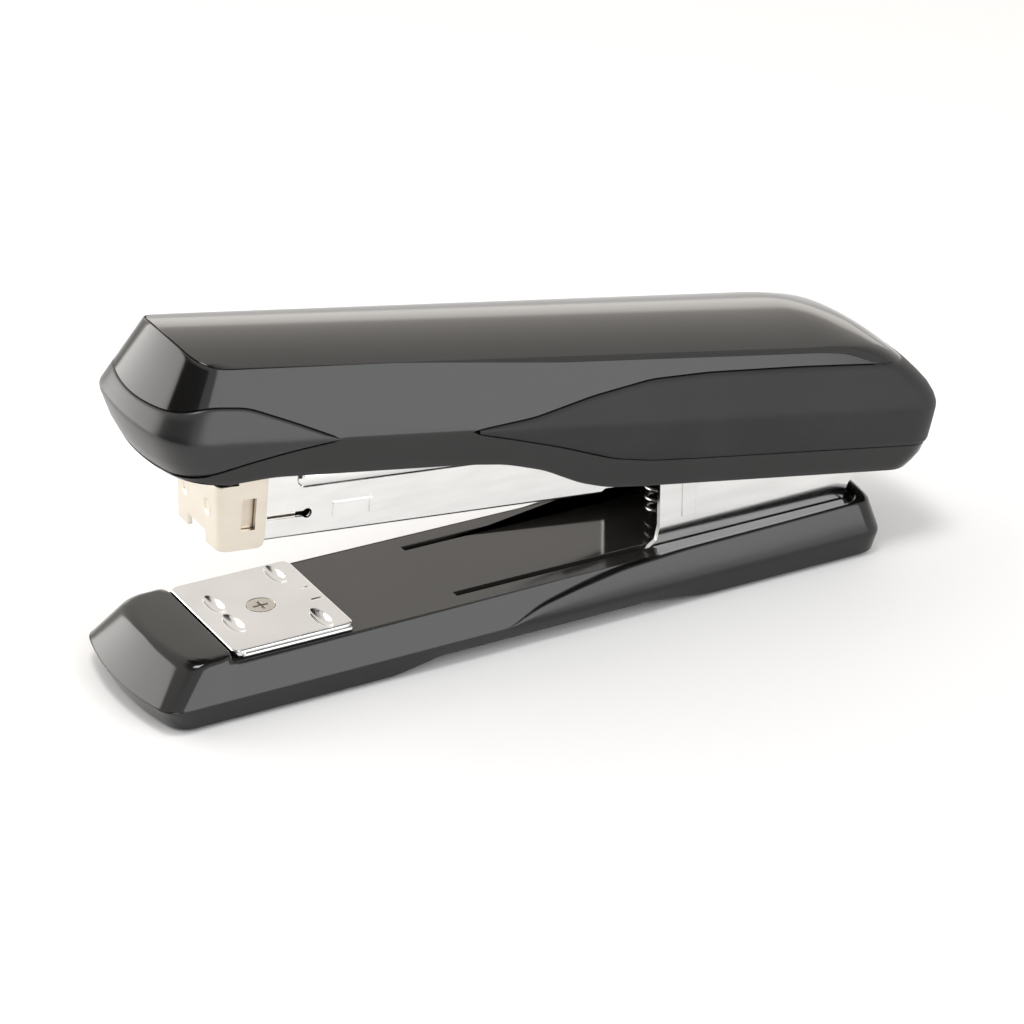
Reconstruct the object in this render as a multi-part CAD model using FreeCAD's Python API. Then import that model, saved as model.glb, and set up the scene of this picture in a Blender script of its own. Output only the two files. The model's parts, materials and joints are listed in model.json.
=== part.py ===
"""Full-strip desk stapler, standing open on its rubber pads.

Frame: +X from the nose to the hinge end, +Z up, Y = 0 is the plane of symmetry, Z = 0 is the table.
Millimetres throughout.  Three tilted parts share the hinge pin, so the magazine, the guide channel
and the handle are each drawn in a local frame (u rearward, v up, origin on the pin) and then tilted.
"""
import FreeCAD, Part
import math
import os

V = FreeCAD.Vector

# ---------------------------------------------------------------- driving dimensions
ANVIL_X = -52.37         # anvil centre, measured from the middle of the overall length
ANVIL_TOP = 11.3         # anvil face above the table
PIN_X = ANVIL_X + 119.0  # hinge pin centre
PIN_Z = ANVIL_TOP + 12.5
MAGAZINE_TILT = 5.7      # degrees nose-up, open
HANDLE_TILT = 9.8
SHEET = 0.8              # magazine and guide sheet steel
BRACKET_SHEET = 1.0
PIN_R = 2.0
PIN_CLEAR = 0.05         # radial running clearance on the pin
GAP = 0.3                # side clearance between neighbouring moving sheets

# base
BASE_FRONT = ANVIL_X - 28.4
BASE_REAR = ANVIL_X + 120.6
BASE_HALF_FRONT = 17.8
BASE_HALF_REAR = 17.0
PAD_PROUD = 0.4          # rubber pads stand this far below the shell's edge
CREASE_Z = 4.5           # widest line of the base shell
PLATE_TOP = ANVIL_TOP - 1.5
PLATE_THICK = 1.4
PLATE_HALF = 14.3
PLATE_FRONT = ANVIL_X - 12.0
PLATE_REAR = ANVIL_X + 113.5
RIM_Z = ANVIL_TOP - 0.6
SHELL_WALL = 2.0
ARCH = 1.8               # rise of the base's lower edge between its two feet
DECK_THICK = 1.6         # wall of the base shell under the bracket
SCREW_R = 1.1

# anvil
ANVIL_LENGTH = 23.1
ANVIL_HALF = 14.1
ANVIL_SHEET = 1.0
POST_R = 3.0
BUTTON_R = 5.0
BUTTON_LOW = 1.0
BUTTON_TOP = 2.6
POCKET_BALL = 8.0        # radius of the die that presses the clinching pockets
FRONT_POCKETS = (-7.15, 3.95)   # (along, across) from the anvil's centre: pinning setting
REAR_POCKETS = (7.2, 9.24)      # stapling setting

# bracket
BRACKET_HALF = 10.5
SLOT_FRONT = ANVIL_X + 33.0
WALL_FRONT = ANVIL_X + 74.6
WALL_REAR = ANVIL_X + 115.0
FLOOR_LOW = PLATE_TOP - PLATE_THICK - BRACKET_SHEET
DECK_UNDER = FLOOR_LOW - DECK_THICK
PIN_HEAD_R = 3.2
SPRING_X = ANVIL_X + 81.2       # return spring, standing on the base plate
SPRING_TOP = ANVIL_TOP + 7.75

# magazine, local frame
MAG_HALF = 7.6
MAG_BOTTOM = -8.2
MAG_TOP = 5.0
MAG_FRONT = -127.4
MAG_STEP = -53.3
RAIL_HALF = 5.6
RAIL_TOP = -1.2
NOSE_FRONT = -129.6
NOSE_REAR = -122.0
NOSE_BOTTOM = -8.5
NOSE_TOP = 6.5
DRIVER_THICK = 0.6
DRIVER_HALF = 6.4
PUSHER_FRONT = MAG_FRONT + 0.4
PUSHER_LENGTH = 12.0
PUSHER_HALF = 6.3
TONGUE_AT = 4.2          # pusher tongue, measured from the pusher's front edge
TONGUE_LENGTH = 3.0
ROD_R = 0.8
ROD_V = -4.4             # rod centre line
ROD_HEAD_R = 1.6
LEAF_RIVETS = (-42.5, -37.5)
LEAF_HALF = 4.5
LEAF_THICK = 0.5
RIVET_R = 0.9
RIVET_HEAD_R = 1.6

# handle, local frame
H_FRONT = -147.0
H_REAR = 12.9
H_HALF_TOP = 13.3
H_HALF_CREASE = 17.3
H_HALF_BOTTOM = 16.0
H_SEAM = 17.4
H_CREASE = 5.5
H_BOTTOM = -8.0
H_WALL = 2.0
CROWN = 1.8
FRAME_HALF = 11.8
FRAME_TOP = 11.4
GRIP_TOP = 13.4
GRIP_LOW = -2.2
SKIN = 1.0               # depth of the seats for the grips and the bumper
GRIP_PROUD = 0.35
FRAME_SHEET = 1.0
FRAME_SCREWS = (-100.0, -20.0)
SWING_R = H_REAR + 0.8   # the handle's rear wall sweeps this radius about the pin


# ---------------------------------------------------------------- small helpers
def box(x0, x1, y0, y1, z0, z1):
    return Part.makeBox(x1 - x0, y1 - y0, z1 - z0, V(x0, y0, z0))


def cyl_x(x0, x1, y, z, r):
    return Part.makeCylinder(r, x1 - x0, V(x0, y, z), V(1, 0, 0))


def cyl_y(x, z, r, y0, y1):
    return Part.makeCylinder(r, y1 - y0, V(x, y0, z), V(0, 1, 0))


def cyl_z(x, y, r, z0, z1):
    return Part.makeCylinder(r, z1 - z0, V(x, y, z0), V(0, 0, 1))


def prism_y(points, y0, y1):
    """Straight-sided outline in the XZ plane, drawn out along Y."""
    corners = [V(x, y0, z) for x, z in points]
    wire = Part.makePolygon(corners + [corners[0]])
    return Part.Face(wire).extrude(V(0, y1 - y0, 0))


def spline_prism(curve_points, closing_points, y0, y1):
    """Outline in the XZ plane: one smooth curve, closed by straight lines, drawn out along Y."""
    curve = Part.BSplineCurve()
    curve.interpolate([V(x, y0, z) for x, z in curve_points])
    ends = [curve_points[-1]] + closing_points + [curve_points[0]]
    lines = [Part.makeLine(V(a[0], y0, a[1]), V(b[0], y0, b[1])) for a, b in zip(ends, ends[1:])]
    wire = Part.Wire([curve.toShape()] + lines)
    return Part.Face(wire).extrude(V(0, y1 - y0, 0))


def outline(level, front, rear, half_front, half_rear, corner_front, corner_rear, bulge_front, bulge_rear):
    """Closed plan outline at one height: straight sides, bowed ends, soft corners."""

    def end(x_tip, inward, half, corner, bulge):
        reach = half - corner
        shoulder = x_tip + inward * bulge
        slope = 2.0 * bulge / reach
        knuckle = V(shoulder + inward * slope * corner, half, level)
        side = V(shoulder + inward * (slope + 1.0) * corner, half, level)
        return V(x_tip, 0, level), V(shoulder, reach, level), knuckle, side

    def mirror(p):
        return V(p.x, -p.y, p.z)

    def bend(a, b, c):
        curve = Part.BezierCurve()
        curve.setPoles([a, b, c])
        return curve.toShape()

    tip_f, sh_f, kn_f, si_f = end(front, 1, half_front, corner_front, bulge_front)
    tip_r, sh_r, kn_r, si_r = end(rear, -1, half_rear, corner_rear, bulge_rear)
    edges = [
        Part.Arc(sh_f, tip_f, mirror(sh_f)).toShape(),
        bend(mirror(sh_f), mirror(kn_f), mirror(si_f)),
        Part.makeLine(mirror(si_f), mirror(si_r)),
        bend(mirror(si_r), mirror(kn_r), mirror(sh_r)),
        Part.Arc(mirror(sh_r), tip_r, sh_r).toShape(),
        bend(sh_r, kn_r, si_r),
        Part.makeLine(si_r, si_f),
        bend(si_f, kn_f, sh_f),
    ]
    return Part.Wire(edges)


def stack(outlines):
    """Solid through plan outlines, with a sharp line at each."""
    return Part.makeLoft(outlines, True, True)


def coil(radius, wire, pitch, turns, centre, axis):
    """Helical spring, starting at centre and running along axis."""
    helix = Part.makeHelix(pitch, pitch * turns, radius)
    profile = Part.Wire([Part.makeCircle(wire / 2, V(radius, 0, 0), V(0, 1, 0))])
    spring = Part.Wire(helix.Edges).makePipeShell([profile], True, True)
    spring.Placement = FreeCAD.Placement(centre, FreeCAD.Rotation(V(0, 0, 1), axis))
    return spring


def tilted(shape, degrees):
    """Place a shape drawn in a local (u, y, v) frame: nose-up tilt about the pin."""
    placed = shape.copy()
    placed.translate(V(PIN_X, 0, PIN_Z))
    placed.rotate(V(PIN_X, 0, PIN_Z), V(0, 1, 0), degrees)
    return placed


def both_sides(shape):
    return [shape, shape.mirror(V(0, 0, 0), V(0, 1, 0))]


def save(name, shape):
    solids = shape.removeSplitter().Solids
    result = solids[0] if len(solids) == 1 else Part.makeCompound(solids)
    result.exportStep("parts/" + name + ".step")
    print(f"{name:20s} solids {len(solids)} valid {result.isValid()} volume {result.Volume:9.1f}")


# ---------------------------------------------------------------- base
def base_outline(level, inset, half_trim, front_trim, rear_trim):
    return outline(level, BASE_FRONT + front_trim + inset, BASE_REAR - rear_trim - inset,
                   BASE_HALF_FRONT - half_trim - inset, BASE_HALF_REAR - half_trim - inset,
                   3.4 - 0.5 * inset, 3.6 - 0.5 * inset, 1.8, 1.0)


def base_block(inset):
    """Outer form of the base: dark skirt below the crease, slanted sides above it."""
    foot = base_outline(PAD_PROUD, inset, 0.8, 2.2, 0.9)
    crease = base_outline(CREASE_Z, inset, 0.0, 0.0, 0.0)
    rim = base_outline(PLATE_TOP, inset, 3.0, 4.0, 2.0)
    skirt = stack([foot, crease])
    upper = stack([crease, rim])
    return skirt.fuse(upper)


def toe_cap():
    """Raised front of the base, flush with the anvil face."""
    low = base_outline(PLATE_TOP, 0, 3.0, 4.0, 2.0)
    high = base_outline(ANVIL_TOP, 0, 3.2, 6.0, 3.0)
    cap = stack([low, high])
    return cap.common(box(BASE_FRONT, PLATE_FRONT, -30, 30, 0, 30))


def rear_rim():
    """Raised hump that runs round the hinge end and tapers out half-way along each side."""
    low = base_outline(CREASE_Z, 0, 0.0, 0.0, 0.0)
    high = base_outline(RIM_Z, 0, 1.0, 1.0, 1.4)
    ring = stack([low, high])
    ramp = [(ANVIL_X + 42, CREASE_Z), (ANVIL_X + 48, PLATE_TOP - 2.6), (ANVIL_X + 56, PLATE_TOP - 1.4),
            (ANVIL_X + 65, RIM_Z - 0.9), (ANVIL_X + 78, RIM_Z - 0.4), (ANVIL_X + 125, RIM_Z + 0.2)]
    keep = spline_prism(ramp, [(ANVIL_X + 125, 0), (ANVIL_X + 42, 0)], -30, 30)
    return ring.common(keep)


def base_shell():
    body = base_block(0).fuse([toe_cap(), rear_rim()])
    # recess for the top plate, deeper where the bracket's floor lies under it
    deck = PLATE_TOP - PLATE_THICK
    body = body.cut(box(PLATE_FRONT, PLATE_REAR + 0.2, -PLATE_HALF - 0.2, PLATE_HALF + 0.2, deck, 40))
    body = body.cut(box(ANVIL_X + 29.5, PLATE_REAR + 2.0, -BRACKET_HALF - 0.2, BRACKET_HALF + 0.2,
                        FLOOR_LOW, 40))
    # shallow hollow in the rear rim, so that the handle's rear wall swings past it
    body = body.cut(cyl_y(PIN_X, PIN_Z, SWING_R, -BASE_HALF_REAR + 1.5, BASE_HALF_REAR - 1.5))
    # hollow underside
    hollow = base_block(SHELL_WALL).common(box(BASE_FRONT, BASE_REAR, -30, 30, -1, DECK_UNDER))
    body = body.cut(hollow)
    # arch between the feet
    arch = prism_y([(ANVIL_X + 18, -1), (ANVIL_X + 18, PAD_PROUD), (ANVIL_X + 28, PAD_PROUD + ARCH),
                    (ANVIL_X + 67, PAD_PROUD + ARCH), (ANVIL_X + 82, PAD_PROUD), (ANVIL_X + 82, -1)], -30, 30)
    body = body.cut(arch)
    # holes: anvil post, bracket screws
    body = body.cut(cyl_z(ANVIL_X, 0, POST_R + 0.3, -1, 40))
    for x, y in screw_places():
        body = body.cut(cyl_z(x, y, 1.35, -1, 40))
    return body


def screw_places():
    return [(ANVIL_X + 38, -5.0), (ANVIL_X + 38, 5.0), (ANVIL_X + 106, -5.0), (ANVIL_X + 106, 5.0)]


def base_plate():
    """Polished inlay with two long slots for the bracket's walls."""
    plate = box(PLATE_FRONT + 0.1, PLATE_REAR, -PLATE_HALF, PLATE_HALF, PLATE_TOP - PLATE_THICK, PLATE_TOP)
    slot_in = BRACKET_HALF - BRACKET_SHEET - GAP
    slot_out = BRACKET_HALF + GAP
    for slot in both_sides(box(SLOT_FRONT, PLATE_REAR + 5, slot_in, slot_out, 0, 40)):
        plate = plate.cut(slot)
    return plate.cut(cyl_z(ANVIL_X, 0, POST_R + 0.3, 0, 40))


def hinge_bracket():
    """U channel under the plate; its walls rise through the slots and carry the pin."""
    floor = box(ANVIL_X + 30, PLATE_REAR, -BRACKET_HALF, BRACKET_HALF, FLOOR_LOW, FLOOR_LOW + BRACKET_SHEET)
    wall_outline = [
        (SLOT_FRONT + 0.5, FLOOR_LOW), (SLOT_FRONT + 0.5, PLATE_TOP - 0.4), (WALL_FRONT - 4, PLATE_TOP - 0.4),
        (WALL_FRONT - 0.6, PLATE_TOP + 0.8), (WALL_FRONT, PLATE_TOP + 3.5), (WALL_FRONT, PIN_Z + 3.0),
        (WALL_FRONT + 4, PIN_Z + 6.0), (PIN_X + 2, PIN_Z + 6.0), (PIN_X + 6, PIN_Z + 2),
        (PIN_X + 6, PIN_Z - 3.5), (WALL_REAR + 1, ANVIL_TOP + 2.4), (WALL_REAR, ANVIL_TOP + 1.4),
        (WALL_REAR - 1.5, PLATE_TOP - 1), (WALL_REAR - 1.5, FLOOR_LOW)]
    channel = floor
    for wall in both_sides(prism_y(wall_outline, BRACKET_HALF - BRACKET_SHEET, BRACKET_HALF)):
        channel = channel.fuse(wall)
    # stiffening bead pressed outward near each wall's front edge
    bead = box(WALL_FRONT + 4.6, WALL_FRONT + 7.4, BRACKET_HALF - 0.1, BRACKET_HALF + 0.25,
               ANVIL_TOP + 3, PIN_Z + 3)
    for rib in both_sides(bead):
        channel = channel.fuse(rib)
    channel = channel.cut(cyl_y(PIN_X, PIN_Z, PIN_R + PIN_CLEAR, -20, 20))
    for x, y in screw_places():
        channel = channel.cut(cyl_z(x, y, SCREW_R, -1, 40))
    return channel.removeSplitter()


def bracket_screws():
    """Four pan-head screws from below, through the deck into the bracket's floor."""
    screws = []
    for x, y in screw_places():
        head = cyl_z(x, y, 2 * SCREW_R, DECK_UNDER - 1.4, DECK_UNDER)
        screw = head.fuse(cyl_z(x, y, SCREW_R, DECK_UNDER, FLOOR_LOW + BRACKET_SHEET - 0.05))
        for lx, ly in ((1.4, 0.25), (0.25, 1.4)):
            screw = screw.cut(box(x - lx, x + lx, y - ly, y + ly, DECK_UNDER - 2, DECK_UNDER - 0.7))
        screws.append(screw)
    return Part.makeCompound(screws)


def hinge_pin():
    """Headed steel pin through the handle frame, bracket, magazine and guide channel."""
    shank_half = FRAME_HALF + 0.5
    pin = cyl_y(PIN_X, PIN_Z, PIN_R, -shank_half, shank_half)
    for head in both_sides(cyl_y(PIN_X, PIN_Z, PIN_HEAD_R, shank_half, shank_half + 1.0)):
        pin = pin.fuse(head)
    return pin


def return_spring():
    """Coil that holds the magazine up off the anvil; it stands on the base plate."""
    wire = 0.9
    turns = 4
    height = SPRING_TOP - PLATE_TOP - wire
    return coil(2.8, wire, height / turns, turns, V(SPRING_X, 0, PLATE_TOP + wire / 2), V(0, 0, 1))


def bottom_cover():
    """Flat closing plate pressed into the base from below."""
    cover = stack([base_outline(0.9, SHELL_WALL + 0.1, 0.8, 2.0, 0.9),
                   base_outline(2.1, SHELL_WALL + 0.1, 0.6, 1.5, 0.8)])
    return cover.cut(cyl_z(ANVIL_X, 0, BUTTON_R + 0.5, -1, 10))


def rubber_pad(x0, x1, half):
    pad = box(x0, x1, -half, half, 0, 0.9)
    corners = [e for e in pad.Edges if abs(e.Vertexes[0].Z - e.Vertexes[-1].Z) > 0.5]
    return pad.makeFillet(2.5, corners)


# ---------------------------------------------------------------- anvil
def anvil_plate():
    """Pressed plate with folded side flanges and four clinching pockets."""
    x0 = ANVIL_X - ANVIL_LENGTH / 2
    x1 = ANVIL_X + ANVIL_LENGTH / 2
    plate = box(x0, x1, -ANVIL_HALF, ANVIL_HALF, ANVIL_TOP - ANVIL_SHEET, ANVIL_TOP)
    upright = [e for e in plate.Edges if abs(e.Vertexes[0].Z - e.Vertexes[-1].Z) > 0.5]
    plate = plate.makeFillet(1.6, upright)
    flange = box(x0 + 1.8, x1 - 0.6, ANVIL_HALF - 1.0, ANVIL_HALF, PLATE_TOP + 0.02, ANVIL_TOP - 0.5)
    for fold in both_sides(flange):
        plate = plate.fuse(fold)
    for along, across in (FRONT_POCKETS, REAR_POCKETS):
        x = ANVIL_X + along
        for y in (-across, across):
            die = Part.makeSphere(POCKET_BALL, V(x, y, ANVIL_TOP + POCKET_BALL - 0.7))
            plate = plate.cut(die.common(box(x - 1.5, x + 1.5, y - 3.4, y + 3.4, 0, 40)))
    countersink = Part.makeCone(1.6, 2.75, 0.9, V(ANVIL_X, 0, ANVIL_TOP - 0.9))
    return plate.cut(cyl_z(ANVIL_X, 0, 1.6, 0, 40)).cut(countersink)


def anvil_screw():
    """Countersunk cross-recess screw that ties the anvil to its post."""
    head = Part.makeCone(1.5, 2.6, 0.85, V(ANVIL_X, 0, ANVIL_TOP - 0.87))
    shank = cyl_z(ANVIL_X, 0, 1.5, ANVIL_TOP - 7, ANVIL_TOP - 0.8)
    screw = head.fuse(shank)
    for lx, ly in ((1.5, 0.3), (0.3, 1.5)):
        screw = screw.cut(box(ANVIL_X - lx, ANVIL_X + lx, -ly, ly, ANVIL_TOP - 0.6, ANVIL_TOP + 1))
    return screw


def anvil_post():
    """Post through the deck, with the push button at its foot."""
    post = cyl_z(ANVIL_X, 0, POST_R, BUTTON_TOP, ANVIL_TOP - ANVIL_SHEET)
    button = cyl_z(ANVIL_X, 0, BUTTON_R, BUTTON_LOW, BUTTON_TOP)
    return post.fuse(button).cut(cyl_z(ANVIL_X, 0, 1.5, ANVIL_TOP - 7, 40))


def anvil_spring():
    """Coil between the button and the deck, pulling the anvil down."""
    wire = 0.5
    turns = 2.5
    height = DECK_UNDER - BUTTON_TOP - wire
    return coil(4.0, wire, height / turns, turns, V(ANVIL_X, 0, BUTTON_TOP + wire / 2), V(0, 0, 1))


# ---------------------------------------------------------------- magazine (local frame)
def magazine_channel():
    """Plated channel: floor and two walls, cut away under the hinge, with pivot ears."""
    wall_outline = [
        (MAG_FRONT, MAG_BOTTOM), (MAG_STEP - 2, MAG_BOTTOM), (MAG_STEP, MAG_BOTTOM + 1.2),
        (MAG_STEP, MAG_BOTTOM + 3), (MAG_STEP + 2, MAG_BOTTOM + 4.4), (-6, MAG_BOTTOM + 4.4), (4, -4),
        (4, MAG_TOP - 1), (3, MAG_TOP), (MAG_FRONT, MAG_TOP)]
    walls = both_sides(prism_y(wall_outline, MAG_HALF - SHEET, MAG_HALF))
    floor = box(MAG_FRONT, MAG_STEP - 1, -MAG_HALF, MAG_HALF, MAG_BOTTOM, MAG_BOTTOM + SHEET)
    tongue = box(MAG_STEP - 2, -31, -RAIL_HALF, RAIL_HALF, MAG_BOTTOM, MAG_BOTTOM + SHEET)
    channel = walls[0].fuse([walls[1], floor, tongue])
    for bead in both_sides(magazine_bead()):
        channel = channel.fuse(bead)
    # sight slot near the front, ending in a round hole
    for slot in both_sides(box(-121.0, -113.4, MAG_HALF - SHEET - 0.1, MAG_HALF + 0.1, -4.5, -3.4)):
        channel = channel.cut(slot)
    channel = channel.cut(cyl_y(-113.4, -3.95, 0.9, -10, 10))
    for mark in both_sides(staple_mark()):
        channel = channel.fuse(mark)
    return channel.cut(cyl_y(0, 0, PIN_R + PIN_CLEAR, -20, 20))


def magazine_bead():
    """Stiffening bead pressed outward along the upper wall, round-ended at the front."""
    low, high = MAG_BOTTOM + 9.5, MAG_BOTTOM + 12.2
    mid, r = (low + high) / 2, (high - low) / 2
    bar = box(-114.0, -20, MAG_HALF - 0.1, MAG_HALF + 0.5, low, high)
    return bar.fuse(cyl_y(-114.0, mid, r, MAG_HALF - 0.1, MAG_HALF + 0.5))


def staple_mark():
    """Generic staple outline embossed on the wall: a crown and two legs."""
    y0, y1 = MAG_HALF - 0.1, MAG_HALF + 0.15
    crown = box(-108.5, -101.0, y0, y1, -2.9, -2.5)
    return crown.fuse([box(-108.5, -108.1, y0, y1, -5.2, -2.5), box(-101.4, -101.0, y0, y1, -5.2, -2.5)])


def staple_rail():
    """Inverted channel that the staples straddle, slotted along its top for the pusher."""
    rail_low = MAG_BOTTOM + SHEET
    outer = box(MAG_FRONT, -14, -RAIL_HALF, RAIL_HALF, rail_low, RAIL_TOP)
    inner = box(MAG_FRONT - 1, -13, -RAIL_HALF + 0.7, RAIL_HALF - 0.7, rail_low - 1, RAIL_TOP - 0.7)
    slot = box(MAG_FRONT + 4, -18, -1.2, 1.2, RAIL_TOP - 2, RAIL_TOP + 1)
    return outer.cut(inner).cut(slot)


def nose_plate():
    """U-shaped front plate: the driver and the staple pass down behind its face."""
    lean = 1.4
    side_outline = [(NOSE_FRONT, NOSE_BOTTOM), (NOSE_REAR - 1.2, NOSE_BOTTOM), (NOSE_REAR, NOSE_BOTTOM + 1.2),
                    (NOSE_REAR, NOSE_TOP), (NOSE_FRONT - lean, NOSE_TOP)]
    outer = prism_y(side_outline, -MAG_HALF - SHEET, MAG_HALF + SHEET)
    inner_outline = [(NOSE_FRONT + SHEET, NOSE_BOTTOM - 1), (NOSE_REAR + 5, NOSE_BOTTOM - 1),
                     (NOSE_REAR + 5, NOSE_TOP + 1), (NOSE_FRONT - lean + SHEET, NOSE_TOP + 1)]
    plate = outer.cut(prism_y(inner_outline, -MAG_HALF, MAG_HALF))
    # centre notch in the lower edge, side windows, chamfered lower corners
    plate = plate.cut(box(NOSE_FRONT - 3, NOSE_FRONT + 3, -3.1, 3.1, NOSE_BOTTOM - 1, NOSE_BOTTOM + 2.0))
    plate = plate.cut(box(-126.6, -124.0, -20, 20, -5.0, 0.9))
    low = NOSE_BOTTOM - 0.5
    corner = [V(NOSE_FRONT - 3, y, z) for y, z in ((9.6, low), (7.0, low), (9.6, low + 2.5), (9.6, low))]
    chamfer = Part.Face(Part.makePolygon(corner)).extrude(V(3.6, 0, 0))
    for cut in both_sides(chamfer):
        plate = plate.cut(cut)
    return plate


def pusher():
    """Saddle that rides the rail and feeds the strip forward; its tongue reaches the rod."""
    rear = PUSHER_FRONT + PUSHER_LENGTH
    top = RAIL_TOP + 0.15 + SHEET
    saddle = box(PUSHER_FRONT, rear, -PUSHER_HALF, PUSHER_HALF, top - SHEET, top)
    for leg in both_sides(box(PUSHER_FRONT, rear, RAIL_HALF + 0.1, PUSHER_HALF, MAG_BOTTOM + 1.6, top)):
        saddle = saddle.fuse(leg)
    front = PUSHER_FRONT + TONGUE_AT
    tongue = box(front, front + TONGUE_LENGTH, -0.9, 0.9, -3.2, top - 0.5)
    collar = cyl_x(front, front + TONGUE_LENGTH, 0, ROD_V, 2.0)
    bore = cyl_x(PUSHER_FRONT - 1, rear + 3, 0, ROD_V, ROD_R + 0.15)
    return saddle.fuse([tongue, collar]).cut(bore)


def pusher_rod():
    """Headed rod along the rail's middle, on which the pusher and its spring run."""
    rod = cyl_x(MAG_FRONT + 2, -14.5, 0, ROD_V, ROD_R)
    return rod.fuse(cyl_x(-14.5, -13.0, 0, ROD_V, ROD_HEAD_R))


def pusher_spring():
    """Long soft coil between the rail block and the pusher's tongue."""
    turns = 30
    start = PUSHER_FRONT + TONGUE_AT + TONGUE_LENGTH + 0.3
    length = -16.8 - start
    return coil(1.6, 0.45, length / turns, turns, V(start, 0, ROD_V), V(1, 0, 0))


def rail_block():
    """Moulded block that closes the rear of the rail and anchors the rod."""
    half = RAIL_HALF - 0.8
    block = box(-16, -8.5, -half, half, MAG_BOTTOM + 1.2, RAIL_TOP - 0.8)
    return block.cut(cyl_x(-20, -5, 0, ROD_V, ROD_HEAD_R))


# ---------------------------------------------------------------- guide channel (magazine frame at rest)
def guide_channel():
    """Lid over the strip: an inverted channel inside the magazine's walls, on the same pin."""
    half = MAG_HALF - SHEET - GAP
    front = MAG_FRONT + 0.6
    top = MAG_TOP - 0.1
    wall_outline = [(front, 0.8), (-15, 0.8), (-9, -3.5), (3, -3.5), (4, -2), (4, 3), (3, top), (front, top)]
    channel = box(front, -4, -half, half, top - SHEET, top)
    for wall in both_sides(prism_y(wall_outline, half - SHEET, half)):
        channel = channel.fuse(wall)
    for x in LEAF_RIVETS:
        channel = channel.cut(cyl_z(x, 0, RIVET_R, 0, 20))
    return channel.cut(cyl_y(0, 0, PIN_R + PIN_CLEAR, -20, 20))


def leaf_spring():
    """Strip spring on the guide channel that lifts the handle."""
    low = MAG_TOP - 0.1
    foot = box(-46, -34, -LEAF_HALF, LEAF_HALF, low, low + LEAF_THICK)
    blade = [(-46, low), (-46, low + LEAF_THICK), (-110.5, 17.1 + LEAF_THICK), (-110.5, 17.1)]
    leaf = foot.fuse(prism_y(blade, -LEAF_HALF, LEAF_HALF))
    for x in LEAF_RIVETS:
        leaf = leaf.cut(cyl_z(x, 0, RIVET_R, 0, 20))
    return leaf


def leaf_rivets():
    """Two rivets that clamp the leaf to the guide channel."""
    over = MAG_TOP - 0.1 + LEAF_THICK
    under = MAG_TOP - 0.1 - SHEET
    rivets = []
    for x in LEAF_RIVETS:
        shank = cyl_z(x, 0, RIVET_R, under, over)
        head = cyl_z(x, 0, RIVET_HEAD_R, over, over + 0.7)
        foot = cyl_z(x, 0, RIVET_HEAD_R, under - 0.7, under)
        rivets.append(shank.fuse([head, foot]))
    return Part.makeCompound(rivets)


# ---------------------------------------------------------------- handle (local frame)
def handle_outline(level, inset, front, rear, half, corner):
    return outline(level, front + inset, rear - inset, half - inset, half - inset,
                   corner - inset * 0.5, 5.5 - inset * 0.5, 1.0, 0.9)


def handle_block(inset):
    """Handle envelope: three plan outlines, with the crease at the widest."""
    bottom = handle_outline(H_BOTTOM, inset, H_FRONT + 8.0, H_REAR - 0.4, H_HALF_BOTTOM, 8.0)
    crease = handle_outline(H_CREASE, inset, H_FRONT, H_REAR, H_HALF_CREASE, 7.0)
    top = handle_outline(H_SEAM + 4, inset, H_FRONT + 7.0, H_REAR - 1.4, H_HALF_TOP - 1.3, 4.5)
    return stack([bottom, crease]).fuse(stack([crease, top]))


def rear_slope(level):
    """Top line of the handle where it rolls down to the hinge end."""
    return [(-9, level), (-3, level - 0.5), (1, level - 1.7), (5, level - 3.8), (9, level - 6.8),
            (H_REAR + 4, level - 13.6)]


def side_profile(drop, underside_open):
    """Side view of the handle: flat top, rear slope, dipped lower edge.

    drop lowers the top line; underside_open leaves out the lower edge, for cutting the hollow.
    """
    top = H_SEAM - drop
    if underside_open:
        lower = [(H_REAR + 4, -30), (-155, -30)]
    else:
        dip = [(-58, -7.2), (-64, -6.0), (-72, -3.0), (-80, -1.4), (-88, -1.0)]
        lower = [(H_REAR + 4, -3.2), (H_REAR - 4.6, -7.4)] + dip + [(-125, -1.2), (-133, -2.2), (-150, -2.7)]
    return prism_y([(-155, top)] + rear_slope(top) + lower, -40, 40)


def handle_solid():
    return handle_block(0).common(side_profile(0, False))


def panel_zone():
    """Room that the top panel takes up, inside its side seams and above the grips."""
    half = H_HALF_TOP - 0.6
    return box(H_FRONT - 5, H_REAR + 5, -half, half, GRIP_TOP - 2.4, 40)


def grip_zone():
    """Side-view leaf of the grip panel."""
    upper = [(-87.0, 5.3), (-76, 7.0), (-64, 10.2), (-52, 12.8), (-40, GRIP_TOP),
             (-20, GRIP_TOP + 0.2), (20, GRIP_TOP - 0.4)]
    closing = [(20, GRIP_LOW), (-50, GRIP_LOW), (-58, GRIP_LOW + 0.9), (-70, GRIP_LOW + 4.0)]
    return spline_prism(upper, closing, -40, 40)


def trim_zone():
    """Side-view crescent of the nose bumper."""
    upper = [(-155, 7.4), (-147, 8.2), (-143.6, 9.8), (-138, 11.6), (-131, 11.4), (-122, 8.6), (-113.8, 5.8)]
    closing = [(-122, 3.9), (-130, 1.9), (-138, -0.4), (-146, -3.4), (-155, -3.6)]
    return spline_prism(upper, closing, -40, 40)


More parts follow.
